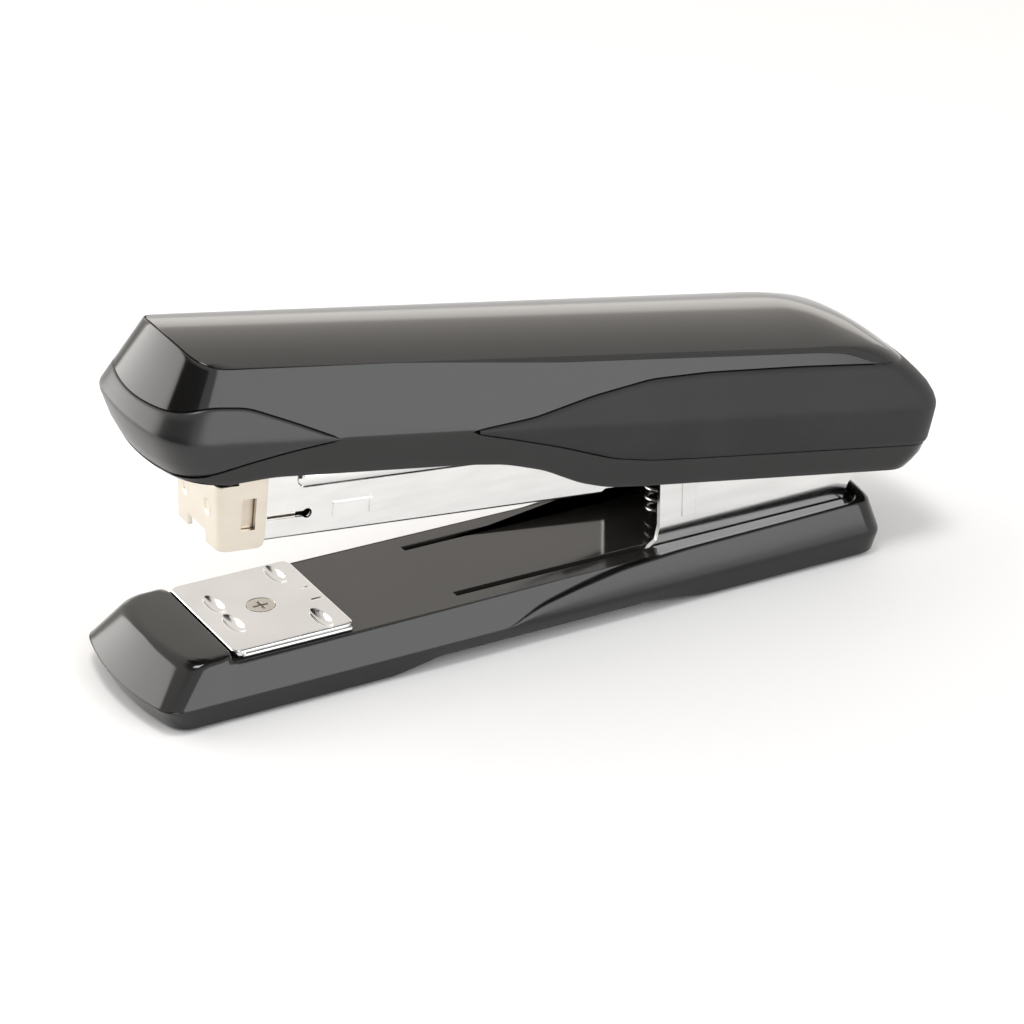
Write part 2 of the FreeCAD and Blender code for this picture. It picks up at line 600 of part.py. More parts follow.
def handle_shell():
    """Moulded cover, open below, with seats for the panels that are pressed into it."""
    shell = handle_solid()
    shell = shell.cut(handle_block(H_WALL).common(side_profile(H_WALL, True)))
    shell = shell.cut(panel_zone().cut(side_profile(1.2, True)))
    skin = handle_block(-3).cut(handle_block(SKIN))
    shell = shell.cut(skin.common(trim_zone()))
    shell = shell.cut(skin.common(grip_zone()))
    # gap in the rear wall's lower edge, which lets the bracket pass when the lid stands open
    shell = shell.cut(box(2, H_REAR + 5, -FRAME_HALF - 0.6, FRAME_HALF + 0.6, H_BOTTOM - 1, GRIP_LOW))
    # bosses that carry the steel frame
    for x in FRAME_SCREWS:
        boss = cyl_z(x, 0, 3.0, FRAME_TOP, H_SEAM - H_WALL + 0.2)
        shell = shell.fuse(boss).cut(cyl_z(x, 0, SCREW_R, FRAME_TOP - 1, FRAME_TOP + 3.4))
    return shell


def top_panel():
    """Crowned top of the handle, following the rear slope."""
    sections = []
    for x, high in [(-150, H_SEAM)] + rear_slope(H_SEAM):
        edge = H_HALF_TOP + 1
        low = high - 1.2
        left, right = V(x, -edge, high), V(x, edge, high)
        arc = Part.Arc(left, V(x, 0, high + CROWN), right).toShape()
        sections.append(Part.Wire([arc, Part.makeLine(right, V(x, edge, low)),
                                   Part.makeLine(V(x, edge, low), V(x, -edge, low)),
                                   Part.makeLine(V(x, -edge, low), left)]))
    bar = Part.makeLoft(sections, True, True)
    return bar.common(panel_zone()).common(handle_block(0))


def nose_trim():
    """Crescent bumper round the nose, pressed into its seat in the shell."""
    skin = handle_block(0).cut(handle_block(SKIN))
    return skin.common(trim_zone()).common(side_profile(0, False))


def grip():
    """Matt textured panel on the +Y flank, wrapping round to the rear."""
    skin = handle_block(-GRIP_PROUD).cut(handle_block(SKIN)).common(side_profile(-GRIP_PROUD, False))
    return skin.common(grip_zone()).common(box(-100, 30, 0.2, 30, -40, 40))


def handle_frame():
    """Steel channel inside the handle: ears on the pin, driver at the front."""
    front = -128.9
    wall_outline = [(front, FRAME_TOP), (front, FRAME_TOP - 5), (-60, FRAME_TOP - 7), (-24, -2.0), (-4, -4.5),
                    (4, -4.5), (6, -2), (6, FRAME_TOP - 2), (4, FRAME_TOP)]
    frame = box(front, 4, -FRAME_HALF, FRAME_HALF, FRAME_TOP - FRAME_SHEET, FRAME_TOP)
    for wall in both_sides(prism_y(wall_outline, FRAME_HALF - FRAME_SHEET, FRAME_HALF)):
        frame = frame.fuse(wall)
    for x in FRAME_SCREWS:
        frame = frame.cut(cyl_z(x, 0, SCREW_R + 0.25, 0, 40))
    return frame.cut(cyl_y(0, 0, PIN_R + PIN_CLEAR, -20, 20))


def frame_screws():
    """Two slotted screws from below, through the frame into the shell's bosses."""
    under = FRAME_TOP - FRAME_SHEET
    screws = []
    for x in FRAME_SCREWS:
        screw = cyl_z(x, 0, SCREW_R, under, FRAME_TOP + 3.3).fuse(cyl_z(x, 0, 2.3, under - 1.1, under))
        screws.append(screw.cut(box(x - 1.5, x + 1.5, -0.3, 0.3, under - 2, under - 0.6)))
    return Part.makeCompound(screws)


def driver_blade():
    """Blade that shears one staple off the strip and drives it; square to the magazine when pressed."""
    front = -128.5
    top = FRAME_TOP - FRAME_SHEET
    blade = box(front, front + DRIVER_THICK, -DRIVER_HALF, DRIVER_HALF, -8.3, top)
    return blade.fuse(box(front, front + 9, -DRIVER_HALF, DRIVER_HALF, top - 0.7, top))


def main():
    os.makedirs("parts", exist_ok=True)
    save("base_shell", base_shell())
    save("base_plate", base_plate())
    save("hinge_bracket", hinge_bracket())
    save("bracket_screws", bracket_screws())
    save("hinge_pin", hinge_pin())
    save("return_spring", return_spring())
    save("bottom_cover", bottom_cover())
    save("front_pad", rubber_pad(ANVIL_X - 19, ANVIL_X - 7, 11))
    save("rear_pad", rubber_pad(ANVIL_X + 92, ANVIL_X + 108, 11))
    save("anvil_plate", anvil_plate())
    save("anvil_screw", anvil_screw())
    save("anvil_post", anvil_post())
    save("anvil_spring", anvil_spring())
    in_magazine = {
        "magazine_channel": magazine_channel(), "staple_rail": staple_rail(), "nose_plate": nose_plate(),
        "pusher": pusher(), "pusher_rod": pusher_rod(), "pusher_spring": pusher_spring(),
        "rail_block": rail_block(), "guide_channel": guide_channel(), "leaf_spring": leaf_spring(),
        "leaf_rivets": leaf_rivets()}
    for name, shape in in_magazine.items():
        save(name, tilted(shape, MAGAZINE_TILT))
    grip_left, grip_right = both_sides(grip())
    in_handle = {
        "handle_shell": handle_shell(), "top_panel": top_panel(), "nose_trim": nose_trim(),
        "grip_left": grip_left, "grip_right": grip_right, "handle_frame": handle_frame(),
        "frame_screws": frame_screws(), "driver_blade": driver_blade()}
    for name, shape in in_handle.items():
        save(name, tilted(shape, HANDLE_TILT))


main()
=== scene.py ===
import json
import math
import bmesh
import bpy
from mathutils import Matrix, Vector


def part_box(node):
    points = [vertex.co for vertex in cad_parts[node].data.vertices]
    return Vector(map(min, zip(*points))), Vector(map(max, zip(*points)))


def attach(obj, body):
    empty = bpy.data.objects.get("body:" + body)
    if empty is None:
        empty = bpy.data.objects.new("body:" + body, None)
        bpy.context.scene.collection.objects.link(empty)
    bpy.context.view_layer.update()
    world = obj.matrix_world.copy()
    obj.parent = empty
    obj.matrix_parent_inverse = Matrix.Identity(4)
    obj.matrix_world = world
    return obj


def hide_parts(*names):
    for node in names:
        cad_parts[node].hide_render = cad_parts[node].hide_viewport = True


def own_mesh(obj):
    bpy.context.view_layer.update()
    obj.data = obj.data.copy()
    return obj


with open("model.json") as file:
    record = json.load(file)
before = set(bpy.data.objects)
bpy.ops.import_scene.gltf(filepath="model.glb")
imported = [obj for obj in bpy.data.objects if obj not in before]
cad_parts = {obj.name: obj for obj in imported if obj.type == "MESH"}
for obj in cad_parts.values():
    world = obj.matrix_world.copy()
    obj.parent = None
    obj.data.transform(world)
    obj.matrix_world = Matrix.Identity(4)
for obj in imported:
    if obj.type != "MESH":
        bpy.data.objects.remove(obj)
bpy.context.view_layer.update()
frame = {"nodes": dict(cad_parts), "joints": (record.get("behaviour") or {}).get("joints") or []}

nodes = frame["nodes"]
stage = bpy.context.scene
STAPLER_AXIS = math.radians(28.65)   # the camera looks along the length, turned by this
CAMERA_TILT = math.radians(26.4)     # and down on it by this


def soft_light(name, place, aim, size, power, tint):
    """Rectangular area light at place, facing aim."""
    lamp = bpy.data.lights.new(name, "AREA")
    lamp.shape = "RECTANGLE"
    lamp.size, lamp.size_y = size
    lamp.energy = power
    lamp.color = tint
    holder = bpy.data.objects.new(name, lamp)
    holder.location = place
    holder.rotation_euler = (Vector(aim) - Vector(place)).to_track_quat("-Z", "Y").to_euler()
    stage.collection.objects.link(holder)


soft_light("overhead_light", (-0.15, -0.12, 1.15), (0, 0, 0), (0.34, 0.34), 5.0, (1.0, 0.985, 0.96))
soft_light("nose_light", (-0.27, 0.24, 0.10), (-0.08, 0.0, 0.04), (0.30, 0.26), 0.8, (1.0, 0.985, 0.965))
soft_light("flank_light", (0.32, -0.84, 0.30), (0.0, 0, 0.04), (0.66, 0.60), 2.9, (0.985, 0.99, 1.0))
soft_light("back_light", (0.55, 1.05, 0.14), (0, 0, 0.06), (1.3, 0.26), 1.0, (1.0, 0.97, 0.93))

# The room is white all round except for an unlit stretch of wall left of the camera and a dim ceiling.
# The wall's reflection draws the dark bands on the rounded near corners.
DARK_WALL = math.radians(197)        # heading of its middle, from +X towards +Y
DARK_HALF_WIDTH = math.radians(46)
room = bpy.data.worlds.new("white_room")
stage.world = room
room.use_nodes = True
room_nodes, room_link = room.node_tree.nodes, room.node_tree.links.new


def room_math(operation):
    """World node that does one step of arithmetic."""
    step = room_nodes.new("ShaderNodeMath")
    step.operation = operation
    return step


def room_ramp(low, high, start, end, kind="SMOOTHSTEP"):
    """World node that goes from start to end as its input goes from low to high."""
    ramp = room_nodes.new("ShaderNodeMapRange")
    ramp.interpolation_type = kind
    ramp.inputs["From Min"].default_value = low
    ramp.inputs["From Max"].default_value = high
    ramp.inputs["To Min"].default_value = start
    ramp.inputs["To Max"].default_value = end
    return ramp


heading = room_nodes.new("ShaderNodeTexCoord")
turned = room_nodes.new("ShaderNodeVectorRotate")
turned.rotation_type = "Z_AXIS"
turned.inputs["Angle"].default_value = -DARK_WALL
parts = room_nodes.new("ShaderNodeSeparateXYZ")
bearing = room_math("ARCTAN2")
offset = room_math("ABSOLUTE")
wall_edge = room_ramp(DARK_HALF_WIDTH - 0.06, DARK_HALF_WIDTH + 0.06, 0.0, 1.0)
wall_top = room_ramp(0.45, 0.7, 0.0, 1.0)
brightness = room_math("MAXIMUM")
ceiling = room_ramp(0.80, 0.93, 1.0, 0.12)
shaded = room_math("MULTIPLY")
level = room_ramp(0.0, 1.0, 0.03, 1.0, "LINEAR")
warmth = room_ramp(-0.6, 0.6, 0.0, 1.0, "LINEAR")
tint = room_nodes.new("ShaderNodeMix")
tint.data_type = "RGBA"
tint.inputs["A"].default_value = (0.97, 0.98, 1.0, 1.0)
tint.inputs["B"].default_value = (1.0, 0.95, 0.895, 1.0)
room_light = room_nodes["Background"]
room_link(heading.outputs["Generated"], turned.inputs["Vector"])
room_link(turned.outputs["Vector"], parts.inputs["Vector"])
room_link(parts.outputs["Y"], bearing.inputs[0])
room_link(parts.outputs["X"], bearing.inputs[1])
room_link(bearing.outputs["Value"], offset.inputs[0])
room_link(offset.outputs["Value"], wall_edge.inputs["Value"])
room_link(parts.outputs["Z"], wall_top.inputs["Value"])
room_link(wall_edge.outputs["Result"], brightness.inputs[0])
room_link(wall_top.outputs["Result"], brightness.inputs[1])
room_link(parts.outputs["Z"], ceiling.inputs["Value"])
room_link(brightness.outputs["Value"], shaded.inputs[0])
room_link(ceiling.outputs["Result"], shaded.inputs[1])
room_link(shaded.outputs["Value"], level.inputs["Value"])
room_link(level.outputs["Result"], room_light.inputs["Strength"])
north = room_nodes.new("ShaderNodeSeparateXYZ")
room_link(heading.outputs["Generated"], north.inputs["Vector"])
room_link(north.outputs["Y"], warmth.inputs["Value"])
room_link(warmth.outputs["Result"], tint.inputs["Factor"])
room_link(tint.outputs["Result"], room_light.inputs["Color"])

table = bpy.data.meshes.new("table_top")
table_form = bmesh.new()
bmesh.ops.create_circle(table_form, cap_ends=True, radius=4.0, segments=96)
table_form.to_mesh(table)
table_form.free()
table_top = bpy.data.objects.new("table_top", table)
stage.collection.objects.link(table_top)
white_table = bpy.data.materials.new("white_table")
white_table.use_nodes = True
table_shader = white_table.node_tree.nodes["Principled BSDF"]
table_shader.inputs["Base Color"].default_value = (0.93, 0.93, 0.93, 1)
table_shader.inputs["Roughness"].default_value = 0.6
table_shader.inputs["Specular IOR Level"].default_value = 0.2
table.materials.append(white_table)

# A dark card stands left of the camera; only polished surfaces see it.
card = bpy.data.meshes.new("dark_card")
card_corners = [(-0.42, 0.12, 0), (-0.20, -0.36, 0), (-0.20, -0.36, 0.3), (-0.42, 0.12, 0.3)]
card.from_pydata(card_corners, [], [(0, 1, 2, 3)])
dark_card = bpy.data.objects.new("dark_card", card)
stage.collection.objects.link(dark_card)
card_paint = bpy.data.materials.new("card_paint")
card_paint.use_nodes = True
card_shader = card_paint.node_tree.nodes["Principled BSDF"]
card_shader.inputs["Base Color"].default_value = (0.01, 0.01, 0.01, 1)
card_shader.inputs["Roughness"].default_value = 0.9
card.materials.append(card_paint)
dark_card.visible_camera = False
dark_card.visible_diffuse = False
dark_card.visible_shadow = False

camera_data = bpy.data.cameras.new("camera")
camera_data.lens = 140.6
camera_data.sensor_width = 36.0
camera_data.clip_start = 0.01
camera = bpy.data.objects.new("camera", camera_data)
camera.location = (-0.31037, -0.56371, 0.33636)
camera.rotation_euler = (math.pi / 2 - CAMERA_TILT, 0, -STAPLER_AXIS)
stage.collection.objects.link(camera)
stage.camera = camera
stage.view_settings.view_transform = "Standard"


# Handle shell. One glossy black moulding, open below: leaning flanks over a tucked-in skirt, a blunt nose,
# and sunk seats for the nose bumper and the two side grips that are pressed into it.
MM = 0.001
hinge = next(joint for joint in frame["joints"] if joint["name"] == "magazine_pivot")
PIN = Vector(hinge["pos_m"])
HANDLE_TILT = math.radians(9.8)
CREASE = 5.5          # millimetres above the pin: the widest line of the handle
SEAM = 17.4           # height of the top panel's side edges
CROWN = 1.8           # rise of the top panel along its middle
PANEL_END = 12.6      # the top panel stops at this height on the rear slope
CAP_HALF = 13.35      # half width of the top panel at its nose end
TAIL_CORNER, TAIL_BOW = 5.5, 0.9
TAIL_GAP_HALF = 12.9  # half width of the gap in the tail's lower edge
TAIL_GAP_TOP = -2.3   # and the height it reaches
FRONT_LINE = ((-8.0, -139.0), (-2.5, -142.4), (0.5, -144.6), (CREASE, -147.0), (21.4, -140.0))
REAR_LINE = ((-7.4, 8.6), (-6.4, 10.6), (-5.0, 12.0), (-2.5, 12.7), (5.5, 12.75), (7.4, 12.2), (9.0, 10.9),
             (10.6, 9.0), (13.6, 5.0), (15.7, 1.0), (16.9, -3.0), (SEAM, -9.0), (24.0, -9.0))
HALF_LINE = ((-8.0, 16.0), (CREASE, 17.3), (21.4, 12.0))
CORNER_LINE = ((-8.0, 8.0), (CREASE, 7.0), (21.4, 4.5))
ROOF_LINE = ((-155.0, SEAM), (-9.0, SEAM), (-3.0, 16.9), (1.0, 15.7), (5.0, 13.6), (9.0, 10.6),
             (17.0, 3.7))
LOWER_EDGE = ((-150.0, -2.7), (-133.0, -2.2), (-125.0, -1.2), (-88.0, -1.0), (-80.0, -1.4), (-72.0, -3.0),
              (-64.0, -6.0), (-58.0, -7.2), (-50.0, -7.4), (20.0, -7.4))
END_STEPS = 9         # columns round half of an end's bow, and again round its corner
SIDE_STEPS = 96


def straight(table, at):
    """Value at a place along a table of (place, value), in straight runs."""
    if at <= table[0][0]:
        return table[0][1]
    for (a, low), (b, high) in zip(table, table[1:]):
        if at <= b:
            return low + (high - low) * (at - a) / (b - a)
    return table[-1][1]


def flowing(table, at):
    """The same, with every corner of the line eased over a couple of millimetres."""
    return sum(straight(table, at + ease) for ease in (-1.5, -0.75, 0.0, 0.75, 1.5)) / 5


def folded(table, at):
    """The same, with a fold of half a millimetre."""
    return sum(straight(table, at + ease) for ease in (-0.5, 0.0, 0.5)) / 3


def half_end(tip, inward, half, corner, bow, steps=END_STEPS):
    """One end of a plan outline, from its middle to where the straight side begins."""
    reach = half - corner
    slope = 2 * bow / reach
    points = []
    for step in range(steps):
        points.append((tip + inward * bow * (step / steps) ** 2, reach * step / steps))
    start = (tip + inward * bow, reach)
    knuckle = (start[0] + inward * slope * corner, half)
    side = (start[0] + inward * (slope + 1) * corner, half)
    for step in range(steps + 1):
        t = step / steps
        points.append(tuple((1 - t) ** 2 * a + 2 * t * (1 - t) * b + t * t * c
                            for a, b, c in zip(start, knuckle, side)))
    return points


def join_ends(nose, tail, steps):
    """Half of a plan outline: nose, straight side in even steps, tail."""
    (a, y0), (b, y1) = nose[-1], tail[-1]
    side = [(a + (b - a) * step / steps, y0 + (y1 - y0) * step / steps) for step in range(1, steps)]
    return nose + side + tail[::-1]


def handle_plan(height, out):
    """Right half of the handle's outline at one height, nose to tail, grown outward by out."""
    half = folded(HALF_LINE, height) + out
    corner = straight(CORNER_LINE, height) + out / 2
    nose = half_end(folded(FRONT_LINE, height) - out, 1, half, corner, 1.0)
    tail = half_end(flowing(REAR_LINE, height) + out, -1, half, TAIL_CORNER + out / 2, TAIL_BOW)
    return join_ends(nose, tail, SIDE_STEPS)


plans = {}


def handle_point(column, height, out):
    """Place (along, across) of one column of the handle's skin at a height; columns run once round it."""
    key = (round(height, 3), round(out, 3))
    if key not in plans:
        plans[key] = handle_plan(*key)
    half = plans[key]
    last = len(half) - 1
    if column <= last:
        return half[column]
    along, across = half[2 * last - column]
    return along, -across


def settle(column, height_at, guess):
    """Height where a column of the skin meets a line given as height over length."""
    height = guess
    for _ in range(14):
        height = (height + height_at(*handle_point(column, height, 0))) / 2
    return height


def place_handle(along, across, height):
    """Point on the handle, given along, across and above the pin in the handle's own tilted frame."""
    turn, rise = math.cos(HANDLE_TILT), math.sin(HANDLE_TILT)
    return PIN + MM * Vector((along * turn + height * rise, across, height * turn - along * rise))


HALF_COLUMNS = 4 * END_STEPS + SIDE_STEPS + 1
COLUMNS = 2 * (HALF_COLUMNS - 1)
tail_tip = flowing(REAR_LINE, PANEL_END)


def roof(column, along, across):
    """Height of the top panel's edge: crowned across the nose, level along the sides, down at the tail."""
    mirrored = min(column, COLUMNS - column)
    if mirrored <= 2 * END_STEPS:
        return SEAM + CROWN * (1 - (across / CAP_HALF) ** 2)
    tail_column = max(mirrored, HALF_COLUMNS - 1 - 2 * END_STEPS)
    shift = tail_tip - handle_point(tail_column, PANEL_END, 0)[0]
    return flowing(ROOF_LINE, along + shift)


BUMPER_TIP = -113.6   # the bumper's and the grips' edges meet on the crease here
GRIP_TIP = -87.6
BUMPER_TOP = ((-155.0, 7.4), (-147.0, 8.2), (-143.6, 9.8), (-138.0, 11.5), (-131.0, 11.2), (-122.0, 8.4),
              (-114.6, 5.9), (BUMPER_TIP, CREASE))
BUMPER_LOW = ((-155.0, -3.6), (-146.0, -3.4), (-138.0, -0.4), (-130.0, 1.9), (-122.0, 3.8), (-114.6, 5.2),
              (BUMPER_TIP, CREASE))
GRIP_TOP = ((GRIP_TIP, CREASE), (-86.8, 5.8), (-76.0, 7.3), (-64.0, 10.4), (-52.0, 12.7), (-40.0, 13.4),
            (-20.0, 13.6), (20.0, 13.2))
GRIP_LOW = ((GRIP_TIP, CREASE), (-86.8, 5.1), (-70.0, 1.7), (-58.0, -1.3), (-50.0, -2.1), (-40.0, -2.2),
            (20.0, -2.2))
SEAT_DEPTH = 0.9


def inset_line(table, along, tip):
    """Edge of a pressed-in panel; past its tip the two edges fall together on the crease."""
    return flowing(table, along) if abs(along - tip) > 3 else straight(table, along)


def panel_band(column):
    """Lower and upper edge of the bumper or grip on one column of the skin, and how deep its seat is."""
    along = handle_point(column, CREASE, 0)[0]
    if along < -100:
        low_table, top_table, tip = BUMPER_LOW, BUMPER_TOP, BUMPER_TIP
    else:
        low_table, top_table, tip = GRIP_LOW, GRIP_TOP, GRIP_TIP
    low = settle(column, lambda x, y: inset_line(low_table, x, tip), CREASE)
    top = settle(column, lambda x, y: inset_line(top_table, x, tip), CREASE)
    floor = settle(column, lambda x, y: flowing(LOWER_EDGE, x), -3)
    if along > 0:
        # gap in the tail's lower edge, which lets the bracket pass when the lid stands open
        gap = min(1.0, max(0.0, (TAIL_GAP_HALF - abs(handle_point(column, CREASE, 0)[1])) / 0.5))
        floor += (TAIL_GAP_TOP - floor) * gap * gap * (3 - 2 * gap)
    ceiling = settle(column, lambda x, y: roof(column, x, y), 15)
    low = max(low, floor + 0.45)
    top = min(top, ceiling - 0.12)
    depth = min(1.0, max(0.0, (top - low) / 0.8))
    return floor, low, top, ceiling, depth


bands = [panel_band(column) for column in range(COLUMNS)]


def skin_mesh(name, rings, close_rows):
    """Mesh from closed rings of points with equal counts, joined ring to ring; open ends are capped."""
    mesh = bpy.data.meshes.new(name)
    form = bmesh.new()
    verts = [[form.verts.new(point) for point in ring] for ring in rings]
    count = len(rings[0])
    ring_total = len(rings)
    for i in range(ring_total if close_rows else ring_total - 1):
        here, there = verts[i], verts[(i + 1) % ring_total]
        for j in range(count):
            k = (j + 1) % count
            form.faces.new((here[j], here[k], there[k], there[j]))
    if not close_rows:
        form.faces.new(verts[0][::-1])
        form.faces.new(verts[-1])
    bmesh.ops.remove_doubles(form, verts=form.verts, dist=2e-6)
    bmesh.ops.dissolve_degenerate(form, edges=form.edges, dist=1e-6)
    bmesh.ops.recalc_face_normals(form, faces=form.faces)
    form.to_mesh(mesh)
    form.free()
    return mesh


def add_piece(name, mesh, material, body, replaced, sharp=0):
    """Finished piece: one material, riding on its body. Edges over sharp degrees break the smooth
    shading; without it the mesh keeps the normals it has."""
    if sharp:
        mesh.shade_smooth()
        mesh.set_sharp_from_angle(angle=math.radians(sharp))
    else:
        mesh.name = name
    mesh.materials.clear()
    mesh.materials.append(material)
    piece = bpy.data.objects.new(name, mesh)
    stage.collection.objects.link(piece)
    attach(piece, body)
    if replaced:
        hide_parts(*replaced)
    return piece


def plastic(name, dark, light, roughness, sheen_spread, skin_size, skin_depth):
    """Moulded plastic: two close shades in soft clouds, uneven gloss and a fine skin of bumps."""
    material = bpy.data.materials.new(name)
    material.use_nodes = True
    tree = material.node_tree
    shader = tree.nodes["Principled BSDF"]
    where = tree.nodes.new("ShaderNodeTexCoord")
    clouds = tree.nodes.new("ShaderNodeTexNoise")
    clouds.inputs["Scale"].default_value = 60.0
    clouds.inputs["Detail"].default_value = 4.0
    shades = tree.nodes.new("ShaderNodeValToRGB")
    shades.color_ramp.elements[0].position = 0.35
    shades.color_ramp.elements[0].color = (*dark, 1)
    shades.color_ramp.elements[1].position = 0.65
    shades.color_ramp.elements[1].color = (*light, 1)
    gloss = tree.nodes.new("ShaderNodeMapRange")
    gloss.inputs["To Min"].default_value = roughness - sheen_spread
    gloss.inputs["To Max"].default_value = roughness + sheen_spread
    grain = tree.nodes.new("ShaderNodeTexNoise")
    grain.inputs["Scale"].default_value = 1 / skin_size
    grain.inputs["Detail"].default_value = 2.0
    bumps = tree.nodes.new("ShaderNodeBump")
    bumps.inputs["Strength"].default_value = 1.0
    bumps.inputs["Distance"].default_value = skin_depth
    link = tree.links.new
    link(where.outputs["Object"], clouds.inputs["Vector"])
    link(where.outputs["Object"], grain.inputs["Vector"])
    link(clouds.outputs["Fac"], shades.inputs["Fac"])
    link(shades.outputs["Color"], shader.inputs["Base Color"])
    link(clouds.outputs["Fac"], gloss.inputs["Value"])
    link(gloss.outputs["Result"], shader.inputs["Roughness"])
    link(grain.outputs["Fac"], bumps.inputs["Height"])
    link(bumps.outputs["Normal"], shader.inputs["Normal"])
    shader.inputs["IOR"].default_value = 1.5
    return material


gloss_black = plastic("gloss_black", (0.005, 0.0048, 0.0045), (0.007, 0.0067, 0.0064), 0.12, 0.02, 0.0016,
                      1e-6)

# Each row of the shell's section is a height and how far it stands out from the skin: round the lower edge,
# up to the seat, across it, on to the top opening, then down the inside of the wall.
shell_rings = []
for column, (floor, low, top, ceiling, depth) in enumerate(bands):
    seat = -SEAT_DEPTH * depth
    lip = 0.22 * depth
    roomy = low - lip > floor + 0.6
    rows = [(floor + 0.5, -2.0), (floor + 0.08, -1.5), (floor, -0.9), (floor + 0.05, -0.45),
            (floor + 0.2, -0.14), (floor + 0.45 if roomy else floor + 0.3, -0.02)]
    rows += [(floor + 0.45 + (low - lip - floor - 0.5) * share if roomy else floor + 0.35, 0.0)
             for share in (0.3, 0.62, 0.93)]
    rows += [(low - lip, 0.0), (low - lip * 0.4, 0.12 * seat), (low - lip * 0.15, 0.5 * seat), (low, seat)]
    rows += [(low + (top - low) * share, seat) for share in (0.25, 0.5, 0.75)]
    rows += [(top, seat), (top + lip * 0.15, 0.5 * seat), (top + lip * 0.4, 0.12 * seat), (top + lip, 0.0)]
    first = min(top + lip, ceiling - 0.3)
    rows += [(first + (ceiling - 0.3 - first) * share, 0.0) for share in (0.04, 0.35, 0.7, 0.96, 1.0)]
    rows += [(ceiling - 0.06, -0.03), (ceiling - 0.02, -0.12), (ceiling - 0.3, -0.2), (ceiling - 1.25, -1.9)]
    rows += [(ceiling - 1.3 - (ceiling - 1.8 - floor) * share, -2.0) for share in (0.0, 0.33, 0.66)]
    shell_rings.append([place_handle(*handle_point(column, height, out), height) for height, out in rows])
add_piece("handle_cover", skin_mesh("handle_cover", shell_rings, True), gloss_black, "handle",
          ["handle_shell"], 30)


# Nose bumper and side grips. Thin skins pressed into the handle's seats: the bumper is satin black, the
# grips are a soft charcoal plastic with a fine moulded stipple, wrapping round the tail.
def inlay_rings(columns, proud, edge):
    """Rings of a thin panel that fills its seat, edges rolled over, standing proud of the skin."""
    rings = []
    for column in columns:
        _, low, top, _, depth = bands[column]
        span = top - low
        roll = min(edge, span * 0.3)
        back = -SEAT_DEPTH + 0.05
        middle = min(max(CREASE, low + 0.35 * span), top - 0.35 * span)
        rows = [(low, back * depth), (low + 0.02, -0.4 * depth), (low + 0.1 * roll, (proud - 0.3) * depth),
                (low + 0.4 * roll, (proud - 0.09) * depth), (low + roll, proud * depth)]
        rows += [(low + roll + (middle - low - roll) * share, proud * depth)
                 for share in (0.33, 0.66, 0.9, 1.0)]
        rows += [(middle + (top - roll - middle) * share, proud * depth)
                 for share in (0.1, 0.25, 0.5, 0.75, 1.0)]
        rows += [(top - 0.4 * roll, (proud - 0.09) * depth), (top - 0.1 * roll, (proud - 0.3) * depth),
                 (top - 0.02, -0.4 * depth), (top, back * depth)]
        rings.append([place_handle(*handle_point(column, height, out), height) for height, out in rows])
    return rings


def columns_between(first, last):
    """Columns of the right flank whose crease lies between two places along the handle."""
    return [column for column in range(HALF_COLUMNS)
            if first <= handle_point(column, CREASE, 0)[0] <= last]


bumper_half = columns_between(-200, BUMPER_TIP)
bumper_columns = [COLUMNS - column for column in bumper_half[:0:-1]] + bumper_half
bumper_columns = [column % COLUMNS for column in bumper_columns]
satin_black = plastic("satin_black", (0.012, 0.012, 0.012), (0.016, 0.016, 0.016), 0.3, 0.04, 0.0008, 3e-6)
add_piece("nose_bumper", skin_mesh("nose_bumper", inlay_rings(bumper_columns, 0.0, 0.5), False),
          satin_black, "handle", ["nose_trim"], 30)

grip_stipple = plastic("grip_stipple", (0.011, 0.0108, 0.0115), (0.017, 0.0165, 0.0175), 0.5, 0.05,
                       0.00035, 1.2e-5)
grip_stipple.node_tree.nodes["Principled BSDF"].inputs["Specular IOR Level"].default_value = 0.36
grip_half = columns_between(GRIP_TIP, 60)
for name, columns in (("grip_left", grip_half),
                      ("grip_right", [(COLUMNS - column) % COLUMNS for column in grip_half])):
    add_piece(name + "_panel", skin_mesh(name + "_panel", inlay_rings(columns, 0.3, 1.0), False),
              grip_stipple, "handle", [name], 30)


# Top panel. A separate crowned cap of the same polished black, dropped into the shell's upper opening:
# a hairline joint runs all round it, and it follows the handle down its rear slope.
PANEL_JOINT = 0.45
PANEL_STATIONS = 60
panel_lines = []
for column in [COLUMNS - step for step in range(2 * END_STEPS, 0, -1)] + list(range(2 * END_STEPS + 1)):
    column %= COLUMNS
    mirrored = min(column, COLUMNS - column)
    tail = HALF_COLUMNS - 1 - mirrored
    tail = COLUMNS - tail if column > HALF_COLUMNS else tail
    front_height = bands[column][3]
    fx, fy = handle_point(column, front_height, -PANEL_JOINT)
    rx, ry = handle_point(tail, PANEL_END, -PANEL_JOINT)
    shift = tail_tip - handle_point(tail, PANEL_END, 0)[0]
    line = []
    for station in range(PANEL_STATIONS + 1):
        share = station / PANEL_STATIONS
        share = share * (1 + 0.35 * (1 - share))
        along, across = fx + (rx - fx) * share, fy + (ry - fy) * share
        fade = min(1.0, (1 - share) * 7)
        fade = fade * fade * (3 - 2 * fade)
        height = flowing(ROOF_LINE, along + shift) + CROWN * fade * (1 - (across / CAP_HALF) ** 2)
        line.append((along, across, height))
    panel_lines.append(line)


def rim_of(rows):
    """Outer loop of a grid of points, once round."""
    return (rows[0][:-1] + [row[-1] for row in rows[:-1]] + rows[-1][:0:-1] + [row[0] for row in rows[:0:-1]])


